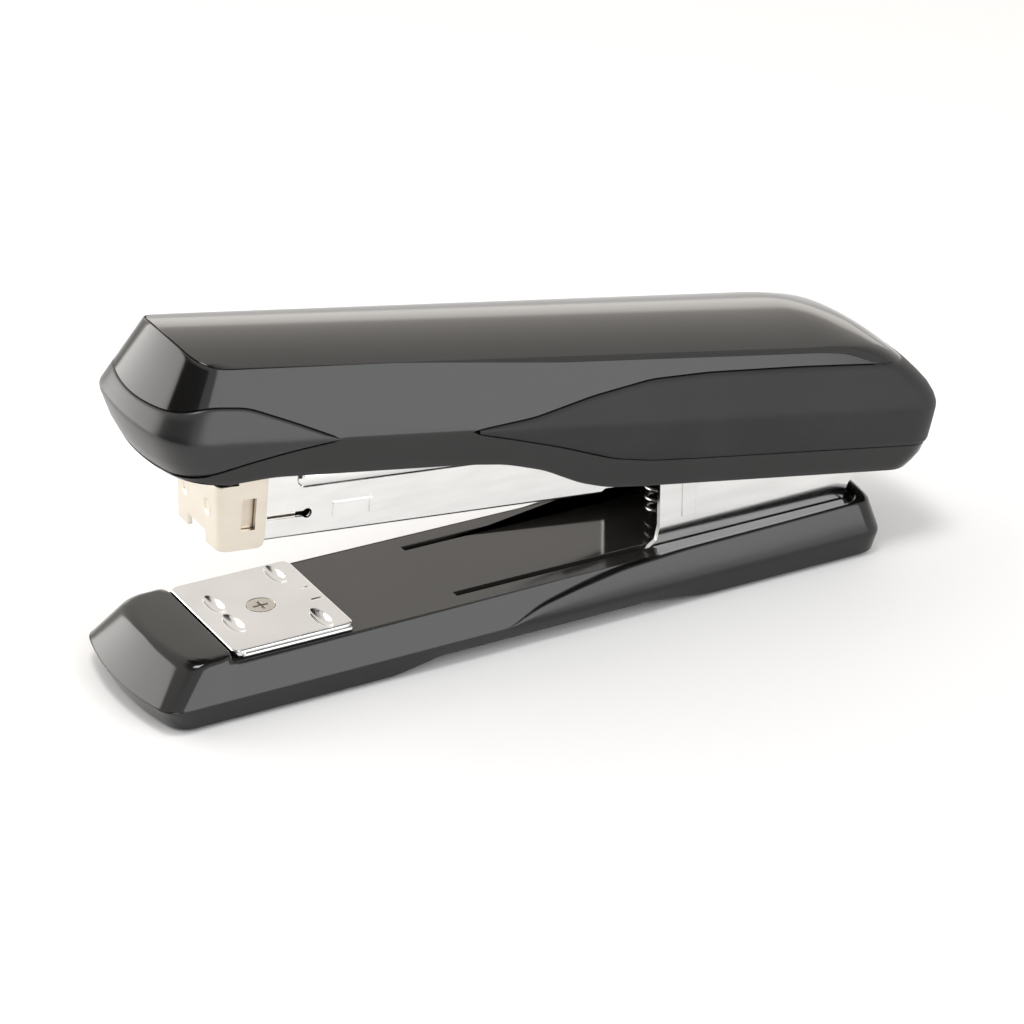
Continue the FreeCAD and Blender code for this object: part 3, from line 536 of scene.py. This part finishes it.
cap = bmesh.new()
grid = [[cap.verts.new(place_handle(*point)) for point in row] for row in panel_lines]
for near, far in zip(grid, grid[1:]):
    for a, b, c, d in zip(near, near[1:], far[1:], far):
        cap.faces.new((a, b, c, d))
loop = rim_of(grid)
points = rim_of(panel_lines)
for drop, grow in ((0.05, 0.05), (0.16, 0.07), (1.1, 0.07), (1.1, -0.8)):
    ring = []
    for along, across, height in points:
        end = -1 if along < -130 else (1 if along > 0 else 0)
        spot = place_handle(along + grow * end * 0.8, across + grow * (across / CAP_HALF), height - drop)
        ring.append(cap.verts.new(spot))
    for j in range(len(ring)):
        k = (j + 1) % len(ring)
        cap.faces.new((loop[j], loop[k], ring[k], ring[j]))
    loop = ring
cap.faces.new(loop)
bmesh.ops.remove_doubles(cap, verts=cap.verts, dist=2e-6)
bmesh.ops.recalc_face_normals(cap, faces=cap.faces)
cap_mesh = bpy.data.meshes.new("top_cap")
cap.to_mesh(cap_mesh)
cap.free()
add_piece("top_cap", cap_mesh, gloss_black, "handle", ["top_panel"], 30)


# Base shell. Long low moulding in the same gloss black: a tucked skirt on two feet, leaning sides, a
# rounded toe cap flush with the anvil, and a rim that swells out of each side and runs round the hinge end.
ANVIL_X = sum(corner.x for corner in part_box("anvil_plate")) / 2 / MM
ANVIL_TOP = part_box("anvil_plate")[1].z / MM
BASE_FRONT, BASE_REAR = (corner.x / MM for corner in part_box("base_shell"))
DECK = ANVIL_TOP - 1.5          # top of the side strips, level with the polished plate
WAIST = 4.5                     # height of the base's widest line
RIM = ANVIL_TOP - 0.6
TOE_EDGE = ANVIL_X - 12.1       # the toe cap ends here, against the anvil
WELL_REAR = ANVIL_X + 113.7
WELL_HALF = 14.45
FOOT_LINE = ((ANVIL_X + 18, 0.4), (ANVIL_X + 28, 2.2), (ANVIL_X + 67, 2.2), (ANVIL_X + 82, 0.4))
RIM_LINE = ((ANVIL_X + 40, WAIST), (ANVIL_X + 47, 6.9), (ANVIL_X + 55, DECK - 1.5),
            (ANVIL_X + 65, DECK - 0.1), (ANVIL_X + 78, RIM - 0.4), (ANVIL_X + 124, RIM))
BASE_SIDE_STEPS = 110
BASE_END_STEPS = 10
CORNER_STEPS = 6
TOE_HALF, TOE_CORNER, TOE_BOW = 17.8, 3.4, 1.8
HEEL_HALF, HEEL_CORNER, HEEL_BOW = 17.0, 3.6, 1.0


def base_plan(front_in, half_in, rear_in):
    """Outline of the base, once round from the toe, drawn in from its widest line."""
    toe = half_end(BASE_FRONT + front_in, 1, TOE_HALF - half_in, TOE_CORNER, TOE_BOW, BASE_END_STEPS)
    heel = half_end(BASE_REAR - rear_in, -1, HEEL_HALF - half_in, HEEL_CORNER, HEEL_BOW, BASE_END_STEPS)
    half = join_ends(toe, heel, BASE_SIDE_STEPS)
    return half + [(x, -y) for x, y in half[-2:0:-1]]


def eased_corner(before, corner, after, size):
    """Points of a rounded corner that starts and ends up to size millimetres from it."""
    back, on = before - corner, after - corner
    back_length, on_length = back.length, on.length
    if min(back_length, on_length) < 1e-4:
        return [corner.copy() for _ in range(CORNER_STEPS + 1)]
    start = corner + back * min(size, 0.48 * back_length) / back_length
    finish = corner + on * min(size, 0.48 * on_length) / on_length
    points = []
    for step in range(CORNER_STEPS + 1):
        t = step / CORNER_STEPS
        points.append((1 - t) ** 2 * start + 2 * t * (1 - t) * corner + t * t * finish)
    return points


def base_corners():
    """Section of the base at every column, as corner points from the inside of the skirt up to the well."""
    skirt_in, skirt = base_plan(4.0, 2.8, 2.9), base_plan(2.2, 0.8, 0.9)
    waist = base_plan(0, 0, 0)
    rim_top = base_plan(1.0, 1.8, 1.5)
    toe_top, deck_line = base_plan(6.0, 3.2, 3.6), base_plan(4.0, 2.9, 3.6)
    sections = []
    for foot_in, foot, wide, rim, toe, deck in zip(skirt_in, skirt, waist, rim_top, toe_top, deck_line):
        x = wide[0]
        arch = flowing(FOOT_LINE, foot[0])
        on_toe = min(1.0, max(0.0, (TOE_EDGE + 2.5 - toe[0]) / 4.0))
        on_toe = on_toe * on_toe * (3 - 2 * on_toe)
        top = DECK + (ANVIL_TOP - DECK) * on_toe
        brow = tuple(a * on_toe + b * (1 - on_toe) for a, b in zip(toe, deck))
        rise = max(WAIST + 0.12, flowing(RIM_LINE, x))
        climb = (rise - WAIST) / (RIM - WAIST)
        outer = tuple(a + (b - a) * climb for a, b in zip(wide, rim))
        lean = min(1.0, (rise - WAIST) / (DECK - WAIST))
        inner = tuple(a + (b - a) * lean for a, b in zip(wide, brow))
        gather = 1 - 0.7 * min(1.0, max(0.0, TOE_EDGE - brow[0]) / 9)
        well = (min(max(brow[0], TOE_EDGE), WELL_REAR),
                gather * max(-WELL_HALF, min(WELL_HALF, brow[1])))
        sections.append([Vector((*foot_in, arch)), Vector((*foot, arch)), Vector((*wide, WAIST)),
                         Vector((*outer, rise)), Vector((*inner, max(rise, WAIST))),
                         Vector((*brow, max(top, min(rise, DECK)))),
                         Vector((*well, top)), Vector((*well, DECK - 1.5)), Vector((*well, 3.4))])
    return sections


base_rings = []
for section in base_corners():
    on_toe = min(1.0, max(0.0, (section[5].z - DECK) / (ANVIL_TOP - DECK)))
    sizes = (0.5, 0.8, 0.8, 0.45, 0.8 + 0.9 * on_toe, 0.2, 0.0)
    ring = [section[0]]
    for corner, size in enumerate(sizes, 1):
        ring += eased_corner(section[corner - 1], section[corner], section[corner + 1], size)
    ring.append(section[-1])
    base_rings.append([point * MM for point in ring])
add_piece("base_moulding", skin_mesh("base_moulding", base_rings, True), gloss_black, "base",
          ["base_shell"], 40)


# Sheet and turned parts. Their forms come straight from the frame; each gets merged flat faces and every
# cut edge eased by a bevel, so that pressed edges and folds catch the light as real sheet metal does.
def eased(mesh, width, segments=3, angle=25, thickness=0.0):
    """Copy of a mesh, made into sheet if asked, with eased edges and flat faces that stay flat."""
    mesh.shade_smooth()
    shaper = bpy.data.objects.new("shaper", mesh)
    stage.collection.objects.link(shaper)
    if thickness:
        sheet = shaper.modifiers.new("sheet", "SOLIDIFY")
        sheet.thickness = thickness
        sheet.offset = -1
    bevel = shaper.modifiers.new("eased_edges", "BEVEL")
    bevel.width = width
    bevel.segments = segments
    bevel.limit_method = "ANGLE"
    bevel.angle_limit = math.radians(angle)
    bevel.use_clamp_overlap = True
    evener = shaper.modifiers.new("flat_faces", "WEIGHTED_NORMAL")
    evener.weight = 100
    bpy.context.view_layer.update()
    shaped = bpy.data.meshes.new_from_object(shaper.evaluated_get(bpy.context.evaluated_depsgraph_get()))
    bpy.data.objects.remove(shaper)
    return shaped


def softened(node, width, change=None, fold_at=None):
    """Copy of a frame node's mesh with clean flat faces, changed if asked, and eased edges."""
    mesh = nodes[node].data.copy()
    form = bmesh.new()
    form.from_mesh(mesh)
    bmesh.ops.remove_doubles(form, verts=form.verts, dist=1e-6)
    if change:
        for vert in form.verts:
            change(vert.co)
    bmesh.ops.dissolve_limit(form, angle_limit=math.radians(1.5), verts=form.verts, edges=form.edges,
                             delimit=set())
    if fold_at:
        chosen = [edge for edge in form.edges if all(fold_at(vert.co) for vert in edge.verts)]
        bmesh.ops.bevel(form, geom=chosen, offset=1.25 * MM, segments=7, profile=0.5, affect="EDGES",
                        clamp_overlap=True)
    form.to_mesh(mesh)
    form.free()
    return eased(mesh, width)


def grid_mesh(name, points, dropped=()):
    """Sheet of quads over a grid of points, less the dropped cells."""
    mesh = bpy.data.meshes.new(name)
    form = bmesh.new()
    verts = [[form.verts.new(point) for point in row] for row in points]
    for i in range(len(points) - 1):
        for j in range(len(points[0]) - 1):
            if (i, j) not in dropped:
                form.faces.new((verts[i][j], verts[i][j + 1], verts[i + 1][j + 1], verts[i + 1][j]))
    bmesh.ops.delete(form, geom=[vert for vert in form.verts if not vert.link_faces], context="VERTS")
    form.to_mesh(mesh)
    form.free()
    return mesh


def spread(low, high, pitch):
    """Even steps from low up to but not including high, about a pitch apart."""
    count = max(1, round(abs(high - low) / pitch))
    return [low + (high - low) * step / count for step in range(count)]


def metal(name, dark, light, roughness, sheen_spread, stretch, grain_size, grain_depth):
    """Plated or bare metal: two close tints in long clouds, streaked gloss, fine rolling marks."""
    material = bpy.data.materials.new(name)
    material.use_nodes = True
    tree = material.node_tree
    shader = tree.nodes["Principled BSDF"]
    shader.inputs["Metallic"].default_value = 1.0
    where = tree.nodes.new("ShaderNodeTexCoord")
    lay = tree.nodes.new("ShaderNodeMapping")
    lay.inputs["Scale"].default_value = stretch
    clouds = tree.nodes.new("ShaderNodeTexNoise")
    clouds.inputs["Scale"].default_value = 90.0
    clouds.inputs["Detail"].default_value = 3.0
    tint = tree.nodes.new("ShaderNodeValToRGB")
    tint.color_ramp.elements[0].position = 0.3
    tint.color_ramp.elements[0].color = (*dark, 1)
    tint.color_ramp.elements[1].position = 0.7
    tint.color_ramp.elements[1].color = (*light, 1)
    gloss = tree.nodes.new("ShaderNodeMapRange")
    gloss.inputs["To Min"].default_value = roughness - sheen_spread
    gloss.inputs["To Max"].default_value = roughness + sheen_spread
    grain = tree.nodes.new("ShaderNodeTexNoise")
    grain.inputs["Scale"].default_value = 1 / grain_size
    grain.inputs["Detail"].default_value = 2.0
    marks = tree.nodes.new("ShaderNodeBump")
    marks.inputs["Strength"].default_value = 1.0
    marks.inputs["Distance"].default_value = grain_depth
    link = tree.links.new
    link(where.outputs["Object"], lay.inputs["Vector"])
    link(lay.outputs["Vector"], clouds.inputs["Vector"])
    link(lay.outputs["Vector"], grain.inputs["Vector"])
    link(clouds.outputs["Fac"], tint.inputs["Fac"])
    link(tint.outputs["Color"], shader.inputs["Base Color"])
    link(clouds.outputs["Fac"], gloss.inputs["Value"])
    link(gloss.outputs["Result"], shader.inputs["Roughness"])
    link(grain.outputs["Fac"], marks.inputs["Height"])
    link(marks.outputs["Normal"], shader.inputs["Normal"])
    return material


# Base plate. Polished black inlay that lies in the base's well behind the anvil, with two long slots for
# the bracket's walls.
plate_gloss = plastic("plate_gloss", (0.024, 0.0225, 0.020), (0.030, 0.028, 0.026), 0.09, 0.015, 0.004, 5e-7)
add_piece("polished_plate", softened("base_plate", 0.00015), plate_gloss, "base", ["base_plate"])


# Hinge bracket. Bright nickel-plated steel channel whose walls rise through the plate's slots; ahead of the
# walls its edges stay down inside the slots.
def sink_ahead_of_walls(point):
    """Lower the channel's upper edges where no wall stands."""
    if point.x < (ANVIL_X + 72) * MM and point.z > (DECK - 1.0) * MM:
        point.z -= 1.1 * MM


bright_nickel = metal("bright_nickel", (0.76, 0.755, 0.745), (0.84, 0.835, 0.825), 0.12, 0.03, (1, 6, 6),
                      0.0007, 1e-6)
add_piece("hinge_channel", softened("hinge_bracket", 0.00022, sink_ahead_of_walls), bright_nickel, "base",
          ["hinge_bracket"])


# Magazine, staple rail and guide channel. Bright nickel-plated pressings. The magazine carries a half-round
# stiffening bead, a sight slot that ends in a round hole, and an embossed staple outline on each wall.
MAGAZINE_TILT = math.radians(5.7)
MAGAZINE_HALF = 7.6


def place_magazine(along, across, height):
    """Point on the magazine, given along, across and above the pin in its own tilted frame."""
    turn, rise = math.cos(MAGAZINE_TILT), math.sin(MAGAZINE_TILT)
    return PIN + MM * Vector((along * turn + height * rise, across, height * turn - along * rise))


def reshape_wall(point):
    """Sink the frame's square bead into the wall and lift the staple outline a little."""
    if abs(point.y) > (MAGAZINE_HALF + 0.3) * MM:
        point.y = math.copysign(MAGAZINE_HALF * MM, point.y)
    elif abs(point.y) > (MAGAZINE_HALF + 0.1) * MM:
        point.y = math.copysign((MAGAZINE_HALF + 0.28) * MM, point.y)


def foot_fold(point):
    """True on the magazine's two lower outer edges."""
    place = (point - PIN) / MM
    height = place.z * math.cos(MAGAZINE_TILT) + place.x * math.sin(MAGAZINE_TILT)
    return abs(height + 8.2) < 0.02 and abs(abs(point.y) / MM - MAGAZINE_HALF) < 0.02


add_piece("magazine", softened("magazine_channel", 0.0002, reshape_wall, foot_fold), bright_nickel,
          "magazine", ["magazine_channel"])
add_piece("strip_guide", softened("guide_channel", 0.0002), bright_nickel, "guide", ["guide_channel"])
add_piece("strip_rail", softened("staple_rail", 0.0002), bright_nickel, "magazine", ["staple_rail"])

BEAD_HEIGHT = 2.65    # middle of the bead, on the wall
BEAD_HALF = 1.75
BEAD_PROUD = 0.85
BEAD_FRONT, BEAD_REAR = -114.0, -20.0
for side, name in ((-1, "right"), (1, "left")):
    rows = []
    for step in range(13):
        around = math.pi * step / 12
        reach = BEAD_HALF * math.cos(around)
        bulge = (0.5 - 0.5 * math.cos(2 * around)) ** 0.6 * BEAD_PROUD
        out = side * (MAGAZINE_HALF - 0.02 + bulge)
        row = []
        for turn in range(13):
            swing = math.pi / 2 * (1 - turn / 12)
            along = BEAD_FRONT - abs(reach) * math.sin(swing)
            row.append(place_magazine(along, out, BEAD_HEIGHT + reach * math.cos(swing)))
        row.append(place_magazine(BEAD_REAR, out, BEAD_HEIGHT + reach))
        rows.append(row)
    bead_mesh = grid_mesh("bead_" + name, rows)
    flip = bmesh.new()
    flip.from_mesh(bead_mesh)
    bmesh.ops.remove_doubles(flip, verts=flip.verts, dist=1e-6)
    bmesh.ops.dissolve_degenerate(flip, edges=flip.edges, dist=1e-7)
    bmesh.ops.holes_fill(flip, edges=[edge for edge in flip.edges if edge.is_boundary], sides=0)
    bmesh.ops.recalc_face_normals(flip, faces=flip.faces)
    flip.to_mesh(bead_mesh)
    flip.free()
    add_piece("wall_bead_" + name, bead_mesh, bright_nickel, "magazine", None, 50)


# Nose plate. Warm champagne-plated wrap folded round the magazine's front: a notch at the foot, two pressed
# dimples on its face, a relief at the top of each fold and a window in each side.
champagne = metal("champagne_plate", (0.68, 0.625, 0.54), (0.73, 0.67, 0.58), 0.24, 0.04, (1, 1, 4),
                  0.0005, 1.2e-6)
NOSE_FOOT, NOSE_HEAD, NOSE_BACK = -8.5, 6.5, -122.0
NOSE_HALF, NOSE_FOLD = 8.38, 1.15
NOTCH_HALF, NOTCH_TOP = 3.6, -6.4
WINDOW = (-126.6, -124.0, -5.0, 0.9)    # front, back, foot and head
DIMPLE = (4.5, -1.6, 1.6)               # from the middle, height and radius
RELIEF = 3.6                            # the folds are cut away above this
side_stops = (spread(NOSE_BACK, WINDOW[1], 0.4) + [WINDOW[1], WINDOW[0]]
              + spread(WINDOW[0] - 0.4, -128.0, 0.4))
face_reach = NOSE_HALF - NOSE_FOLD
face_stops = (spread(-face_reach, -6.3, 0.4) + spread(-6.3, -NOTCH_HALF, 0.25)
              + spread(-NOTCH_HALF, -2.7, 0.25) + spread(-2.7, 2.7, 0.8) + spread(2.7, NOTCH_HALF, 0.25)
              + spread(NOTCH_HALF, 6.3, 0.25) + spread(6.3, face_reach, 0.4) + [face_reach])
nose_rows = (spread(NOSE_FOOT, NOTCH_TOP, 0.5) + spread(NOTCH_TOP, WINDOW[2], 0.5)
             + spread(WINDOW[2], -3.4, 0.4) + spread(-3.4, 0.2, 0.25) + spread(0.2, WINDOW[3], 0.35)
             + spread(WINDOW[3], RELIEF, 0.5) + spread(RELIEF, NOSE_HEAD, 0.5) + [NOSE_HEAD])


def nose_line(height):
    """Plan of the wrap's outer face at one height, right side's back edge to left side's back edge."""
    face = -129.6 - 1.4 * (height - NOSE_FOOT) / (NOSE_HEAD - NOSE_FOOT)
    right = [(stop, -NOSE_HALF, "side") for stop in side_stops]
    centre = face + NOSE_FOLD
    right += [(centre - NOSE_FOLD * math.sin(math.pi / 2 * step / 8),
               -face_reach - NOSE_FOLD * math.cos(math.pi / 2 * step / 8), "fold") for step in range(8)]
    front = []
    for across in face_stops:
        ring = math.hypot(abs(across) - DIMPLE[0], height - DIMPLE[1]) / DIMPLE[2]
        dent = 0.22 * min(1.0, max(0.0, (1.0 - ring) * 5))
        front.append((face + dent, across, "face"))
    return right + front + [(x, -y, kind) for x, y, kind in right[::-1]]


nose_points = []
for height in nose_rows:
    row = []
    for along, across, kind in nose_line(height):
        rounding = max(0.0, along + 123.5)
        curl = 1.5 - math.sqrt(max(0.0, 1.5 ** 2 - rounding ** 2))
        lift = curl * max(0.0, 1 - (height - NOSE_FOOT) / 2.8)
        row.append((along, across, height + lift, kind))
    nose_points.append(row)
cut_cells = set()
for i in range(len(nose_rows) - 1):
    level = (nose_rows[i] + nose_rows[i + 1]) / 2
    for j in range(len(nose_points[0]) - 1):
        here, there = nose_points[i][j], nose_points[i][j + 1]
        along, across = (here[0] + there[0]) / 2, (here[1] + there[1]) / 2
        kind = here[3]
        if kind == "face" and abs(across) < NOTCH_HALF and level < NOTCH_TOP:
            cut_cells.add((i, j))
        if here[3] == "side" and there[3] == "side" and WINDOW[0] < along < WINDOW[1]:
            if WINDOW[2] < level < WINDOW[3]:
                cut_cells.add((i, j))
        if "fold" in (here[3], there[3]) and level > RELIEF:
            cut_cells.add((i, j))
nose_grid = [[place_magazine(*point[:3]) for point in row] for row in nose_points]
nose_sheet = grid_mesh("nose_wrap", nose_grid, cut_cells)
add_piece("nose_wrap", eased(nose_sheet, 0.00016, 2, 40, 0.00078), champagne, "magazine", ["nose_plate"])

# The tab behind each window, pressed back from the wrap; its darker tint is painted shade, the shadow inside
# the window on the same plating.
tab_painted_shade = metal("tab_painted_shade", (0.58, 0.51, 0.42), (0.64, 0.57, 0.47), 0.36, 0.04, (1, 1, 4), 0.0005, 1.5e-6)
TAB_LAP = 0.4         # how far a tab reaches past its window
TAB_AT = 8.0          # its distance from the middle plane
for side, name in ((-1, "right"), (1, "left")):
    rows = [[place_magazine(along, side * TAB_AT, height)
             for along in (WINDOW[0] - TAB_LAP, WINDOW[1] + TAB_LAP)]
            for height in (WINDOW[3] + TAB_LAP, WINDOW[2] - TAB_LAP)]
    if side > 0:
        rows = rows[::-1]
    tab_mesh = eased(grid_mesh("window_tab", rows), 0.00003, 1, 40, 0.00012)
    add_piece("window_tab_" + name, tab_mesh, tab_painted_shade, "magazine", None)


# Anvil. Satin chrome clinching plate with rolled side flanges, two close pockets in front and two wide ones
# behind, two scribed marks at its rear edge, and a dish for the countersunk screw that holds it to its post.
satin_chrome = metal("satin_chrome", (0.68, 0.68, 0.68), (0.74, 0.74, 0.735), 0.16, 0.03, (1, 1, 1),
                     0.0004, 6e-7)
ANVIL_REACH, ANVIL_WIDE, ANVIL_ROUND, ROLL = 11.55, 13.75, 1.6, 0.35
POCKETS = ((-7.1, 4.0), (-7.1, -4.0), (7.2, 9.3), (7.2, -9.3))
POCKET_LONG, POCKET_SHORT = 3.85, 1.5
SCRIBES = ((9.0, 10.7, 2.3), (8.6, 10.9, -2.5))
FLANGE = ((-10.1, 0.05), (-10.0, 0.6), (-9.7, 0.9), (-9.3, 1.0), (10.6, 1.0), (10.9, 0.85), (11.05, 0.5),
          (11.1, 0.05))     # place along and fullness of each side roll


def anvil_face(along, across):
    """Depth of the anvil's face below its top."""
    depth = 0.95 * min(1.0, max(0.0, (2.75 - math.hypot(along, across)) / 1.15))
    for x, y in POCKETS:
        down = (across - y) / POCKET_LONG
        if abs(down) < 1:
            reach = abs(along - x) / (POCKET_SHORT * (1 - down * down) ** 0.55)
            if reach < 1:
                depth = max(depth, 0.85 * (1 - down * down) ** 0.8 * (1 - reach * reach))
    for start, finish, y in SCRIBES:
        if start < along < finish and abs(across - y) < 0.17:
            depth = max(depth, 0.12)
    return depth


def stops(limit, ranges):
    """Grid lines from -limit to limit: a fine pitch inside the given ranges, a coarse one outside."""
    lines = [-limit]
    while lines[-1] < limit - 1e-6:
        fine = any(low - 0.05 <= lines[-1] < high for low, high in ranges)
        lines.append(min(limit, lines[-1] + (0.16 if fine else 0.5)))
    return lines


limit_x, limit_y = ANVIL_REACH - ROLL, ANVIL_WIDE - ROLL
along_lines = stops(limit_x, ((-8.8, -5.4), (-3.0, 3.0), (5.6, 8.9)))
across_lines = stops(limit_y, ((-13.3, 13.3),))
corner_r = ANVIL_ROUND - ROLL
anvil_form = bmesh.new()
anvil_rows = []
outward = {}
for along in along_lines:
    row = []
    for across in across_lines:
        dx, dy = abs(along) - (limit_x - corner_r), abs(across) - (limit_y - corner_r)
        x, y = along, across
        if dx > 0 and dy > 0:
            scale = max(dx, dy) / math.hypot(dx, dy)
            x = math.copysign(limit_x - corner_r + dx * scale, along)
            y = math.copysign(limit_y - corner_r + dy * scale, across)
            way = (math.copysign(dx / math.hypot(dx, dy), along),
                   math.copysign(dy / math.hypot(dx, dy), across))
        elif abs(along) > limit_x - 1e-6:
            way = (math.copysign(1, along), 0)
        else:
            way = (0, math.copysign(1, across))
        vert = anvil_form.verts.new(((ANVIL_X + x) * MM, y * MM, (ANVIL_TOP - anvil_face(x, y)) * MM))
        outward[vert] = way
        row.append(vert)
    anvil_rows.append(row)
for near, far in zip(anvil_rows, anvil_rows[1:]):
    for a, b, c, d in zip(near, near[1:], far[1:], far):
        anvil_form.faces.new((a, b, c, d))
loop = rim_of(anvil_rows)
ring_from = loop
for step in range(1, 8):
    turn = math.pi / 2 * min(step, 5) / 5
    out = ROLL * math.sin(turn) - (0.4 if step == 7 else 0.0)
    drop = ROLL * (1 - math.cos(turn)) + (0.6 if step >= 6 else 0.0)
    ring = [anvil_form.verts.new((vert.co.x + outward[vert][0] * out * MM,
                                  vert.co.y + outward[vert][1] * out * MM,
                                  (ANVIL_TOP - drop) * MM)) for vert in loop]
    for j in range(len(ring)):
        k = (j + 1) % len(ring)
        anvil_form.faces.new((ring_from[j], ring_from[k], ring[k], ring[j]))
    ring_from = ring
anvil_form.faces.new(ring_from)
for side in (-1, 1):
    sections = []
    for along, swell in FLANGE:
        section = []
        for step in range(17):
            turn = 2 * math.pi * step / 16
            section.append(anvil_form.verts.new(((ANVIL_X + along) * MM,
                                                 side * (13.55 + 0.54 * swell * math.cos(turn)) * MM,
                                                 (ANVIL_TOP - 1.0 + 0.48 * swell * math.sin(turn)) * MM)))
        sections.append(section)
    for near, far in zip(sections, sections[1:]):
        for a, b, c, d in zip(near, near[1:], far[1:], far):
            anvil_form.faces.new((a, b, c, d))
    anvil_form.faces.new(sections[0][:16])
    anvil_form.faces.new(sections[-1][:16][::-1])
bmesh.ops.remove_doubles(anvil_form, verts=anvil_form.verts, dist=1e-6)
bmesh.ops.recalc_face_normals(anvil_form, faces=anvil_form.faces)
anvil_mesh = bpy.data.meshes.new("clinching_plate")
anvil_form.to_mesh(anvil_mesh)
anvil_form.free()
add_piece("clinching_plate", anvil_mesh, satin_chrome, "anvil", ["anvil_plate"], 42)

# Finishes of the smaller pieces: dull zinc on screws and pins, spring wire, rubber and plain black plastic.
# The cross-recess screw that holds the anvil sits flush in its dish.
zinc = metal("zinc_plate", (0.50, 0.47, 0.42), (0.62, 0.59, 0.54), 0.3, 0.06, (1, 1, 1), 0.0006, 3e-6)
spring_wire = metal("spring_wire", (0.45, 0.44, 0.43), (0.58, 0.57, 0.56), 0.22, 0.05, (1, 1, 1),
                    0.0005, 2e-6)
rubber_black = plastic("rubber_black", (0.018, 0.018, 0.018), (0.03, 0.03, 0.03), 0.8, 0.05, 0.0006, 2e-5)
cover_plastic = plastic("cover_plastic", (0.02, 0.02, 0.02), (0.03, 0.03, 0.03), 0.45, 0.05, 0.0008, 8e-6)
add_piece("anvil_screw_head", softened("anvil_screw", 0.00008), zinc, "anvil", ["anvil_screw"])


# Springs. Bright coiled and flat spring steel, each kept in its frame shape with its own finish: the
# return coil on the base plate, the anvil's coil under the deck, the pusher's long coil, the handle's leaf.
slide_way = (math.cos(MAGAZINE_TILT), 0, -math.sin(MAGAZINE_TILT))
leaf_way = (math.sin(MAGAZINE_TILT), 0, math.cos(MAGAZINE_TILT))
return_seat = ((ANVIL_X + 81.2) * MM, 0, DECK * MM)
anvil_seat = (ANVIL_X * MM, 0, 5.8 * MM)
pusher_seat = place_magazine(-16.8, 0, -4.4)
leaf_seat = place_magazine(-40.0, 0, 4.9)
for node, name, body, joint, way, seat, keep in (
        ("return_spring", "return_coil", "base", "magazine_pivot", (0, 0, 1), return_seat, 0.42),
        ("anvil_spring", "anvil_coil", "base", "anvil_lift", (0, 0, 1), anvil_seat, 0.2),
        ("pusher_spring", "pusher_coil", "magazine", "pusher_slide", slide_way, pusher_seat, 0.11),
        ("leaf_spring", "handle_leaf", "guide", "handle_press", leaf_way, leaf_seat, 0.3)):
    spring = add_piece(name, nodes[node].data.copy(), spring_wire, body, [node], 50)
    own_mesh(spring)


# Pins, screws, pads and other inner pieces, mostly out of sight: zinc-plated steel, a spring-steel blade,
# rubber feet and plain plastic. Their frame shapes are kept; each only gets its finish.
for finish, names in ((zinc, ("bracket_screws", "hinge_pin", "anvil_post", "pusher_rod", "pusher",
                              "leaf_rivets", "handle_frame", "frame_screws")),
                      (spring_wire, ("driver_blade",)),
                      (rubber_black, ("front_pad", "rear_pad")),
                      (cover_plastic, ("bottom_cover", "rail_block"))):
    for name in names:
        for place in nodes[name].material_slots:
            place.material = finish
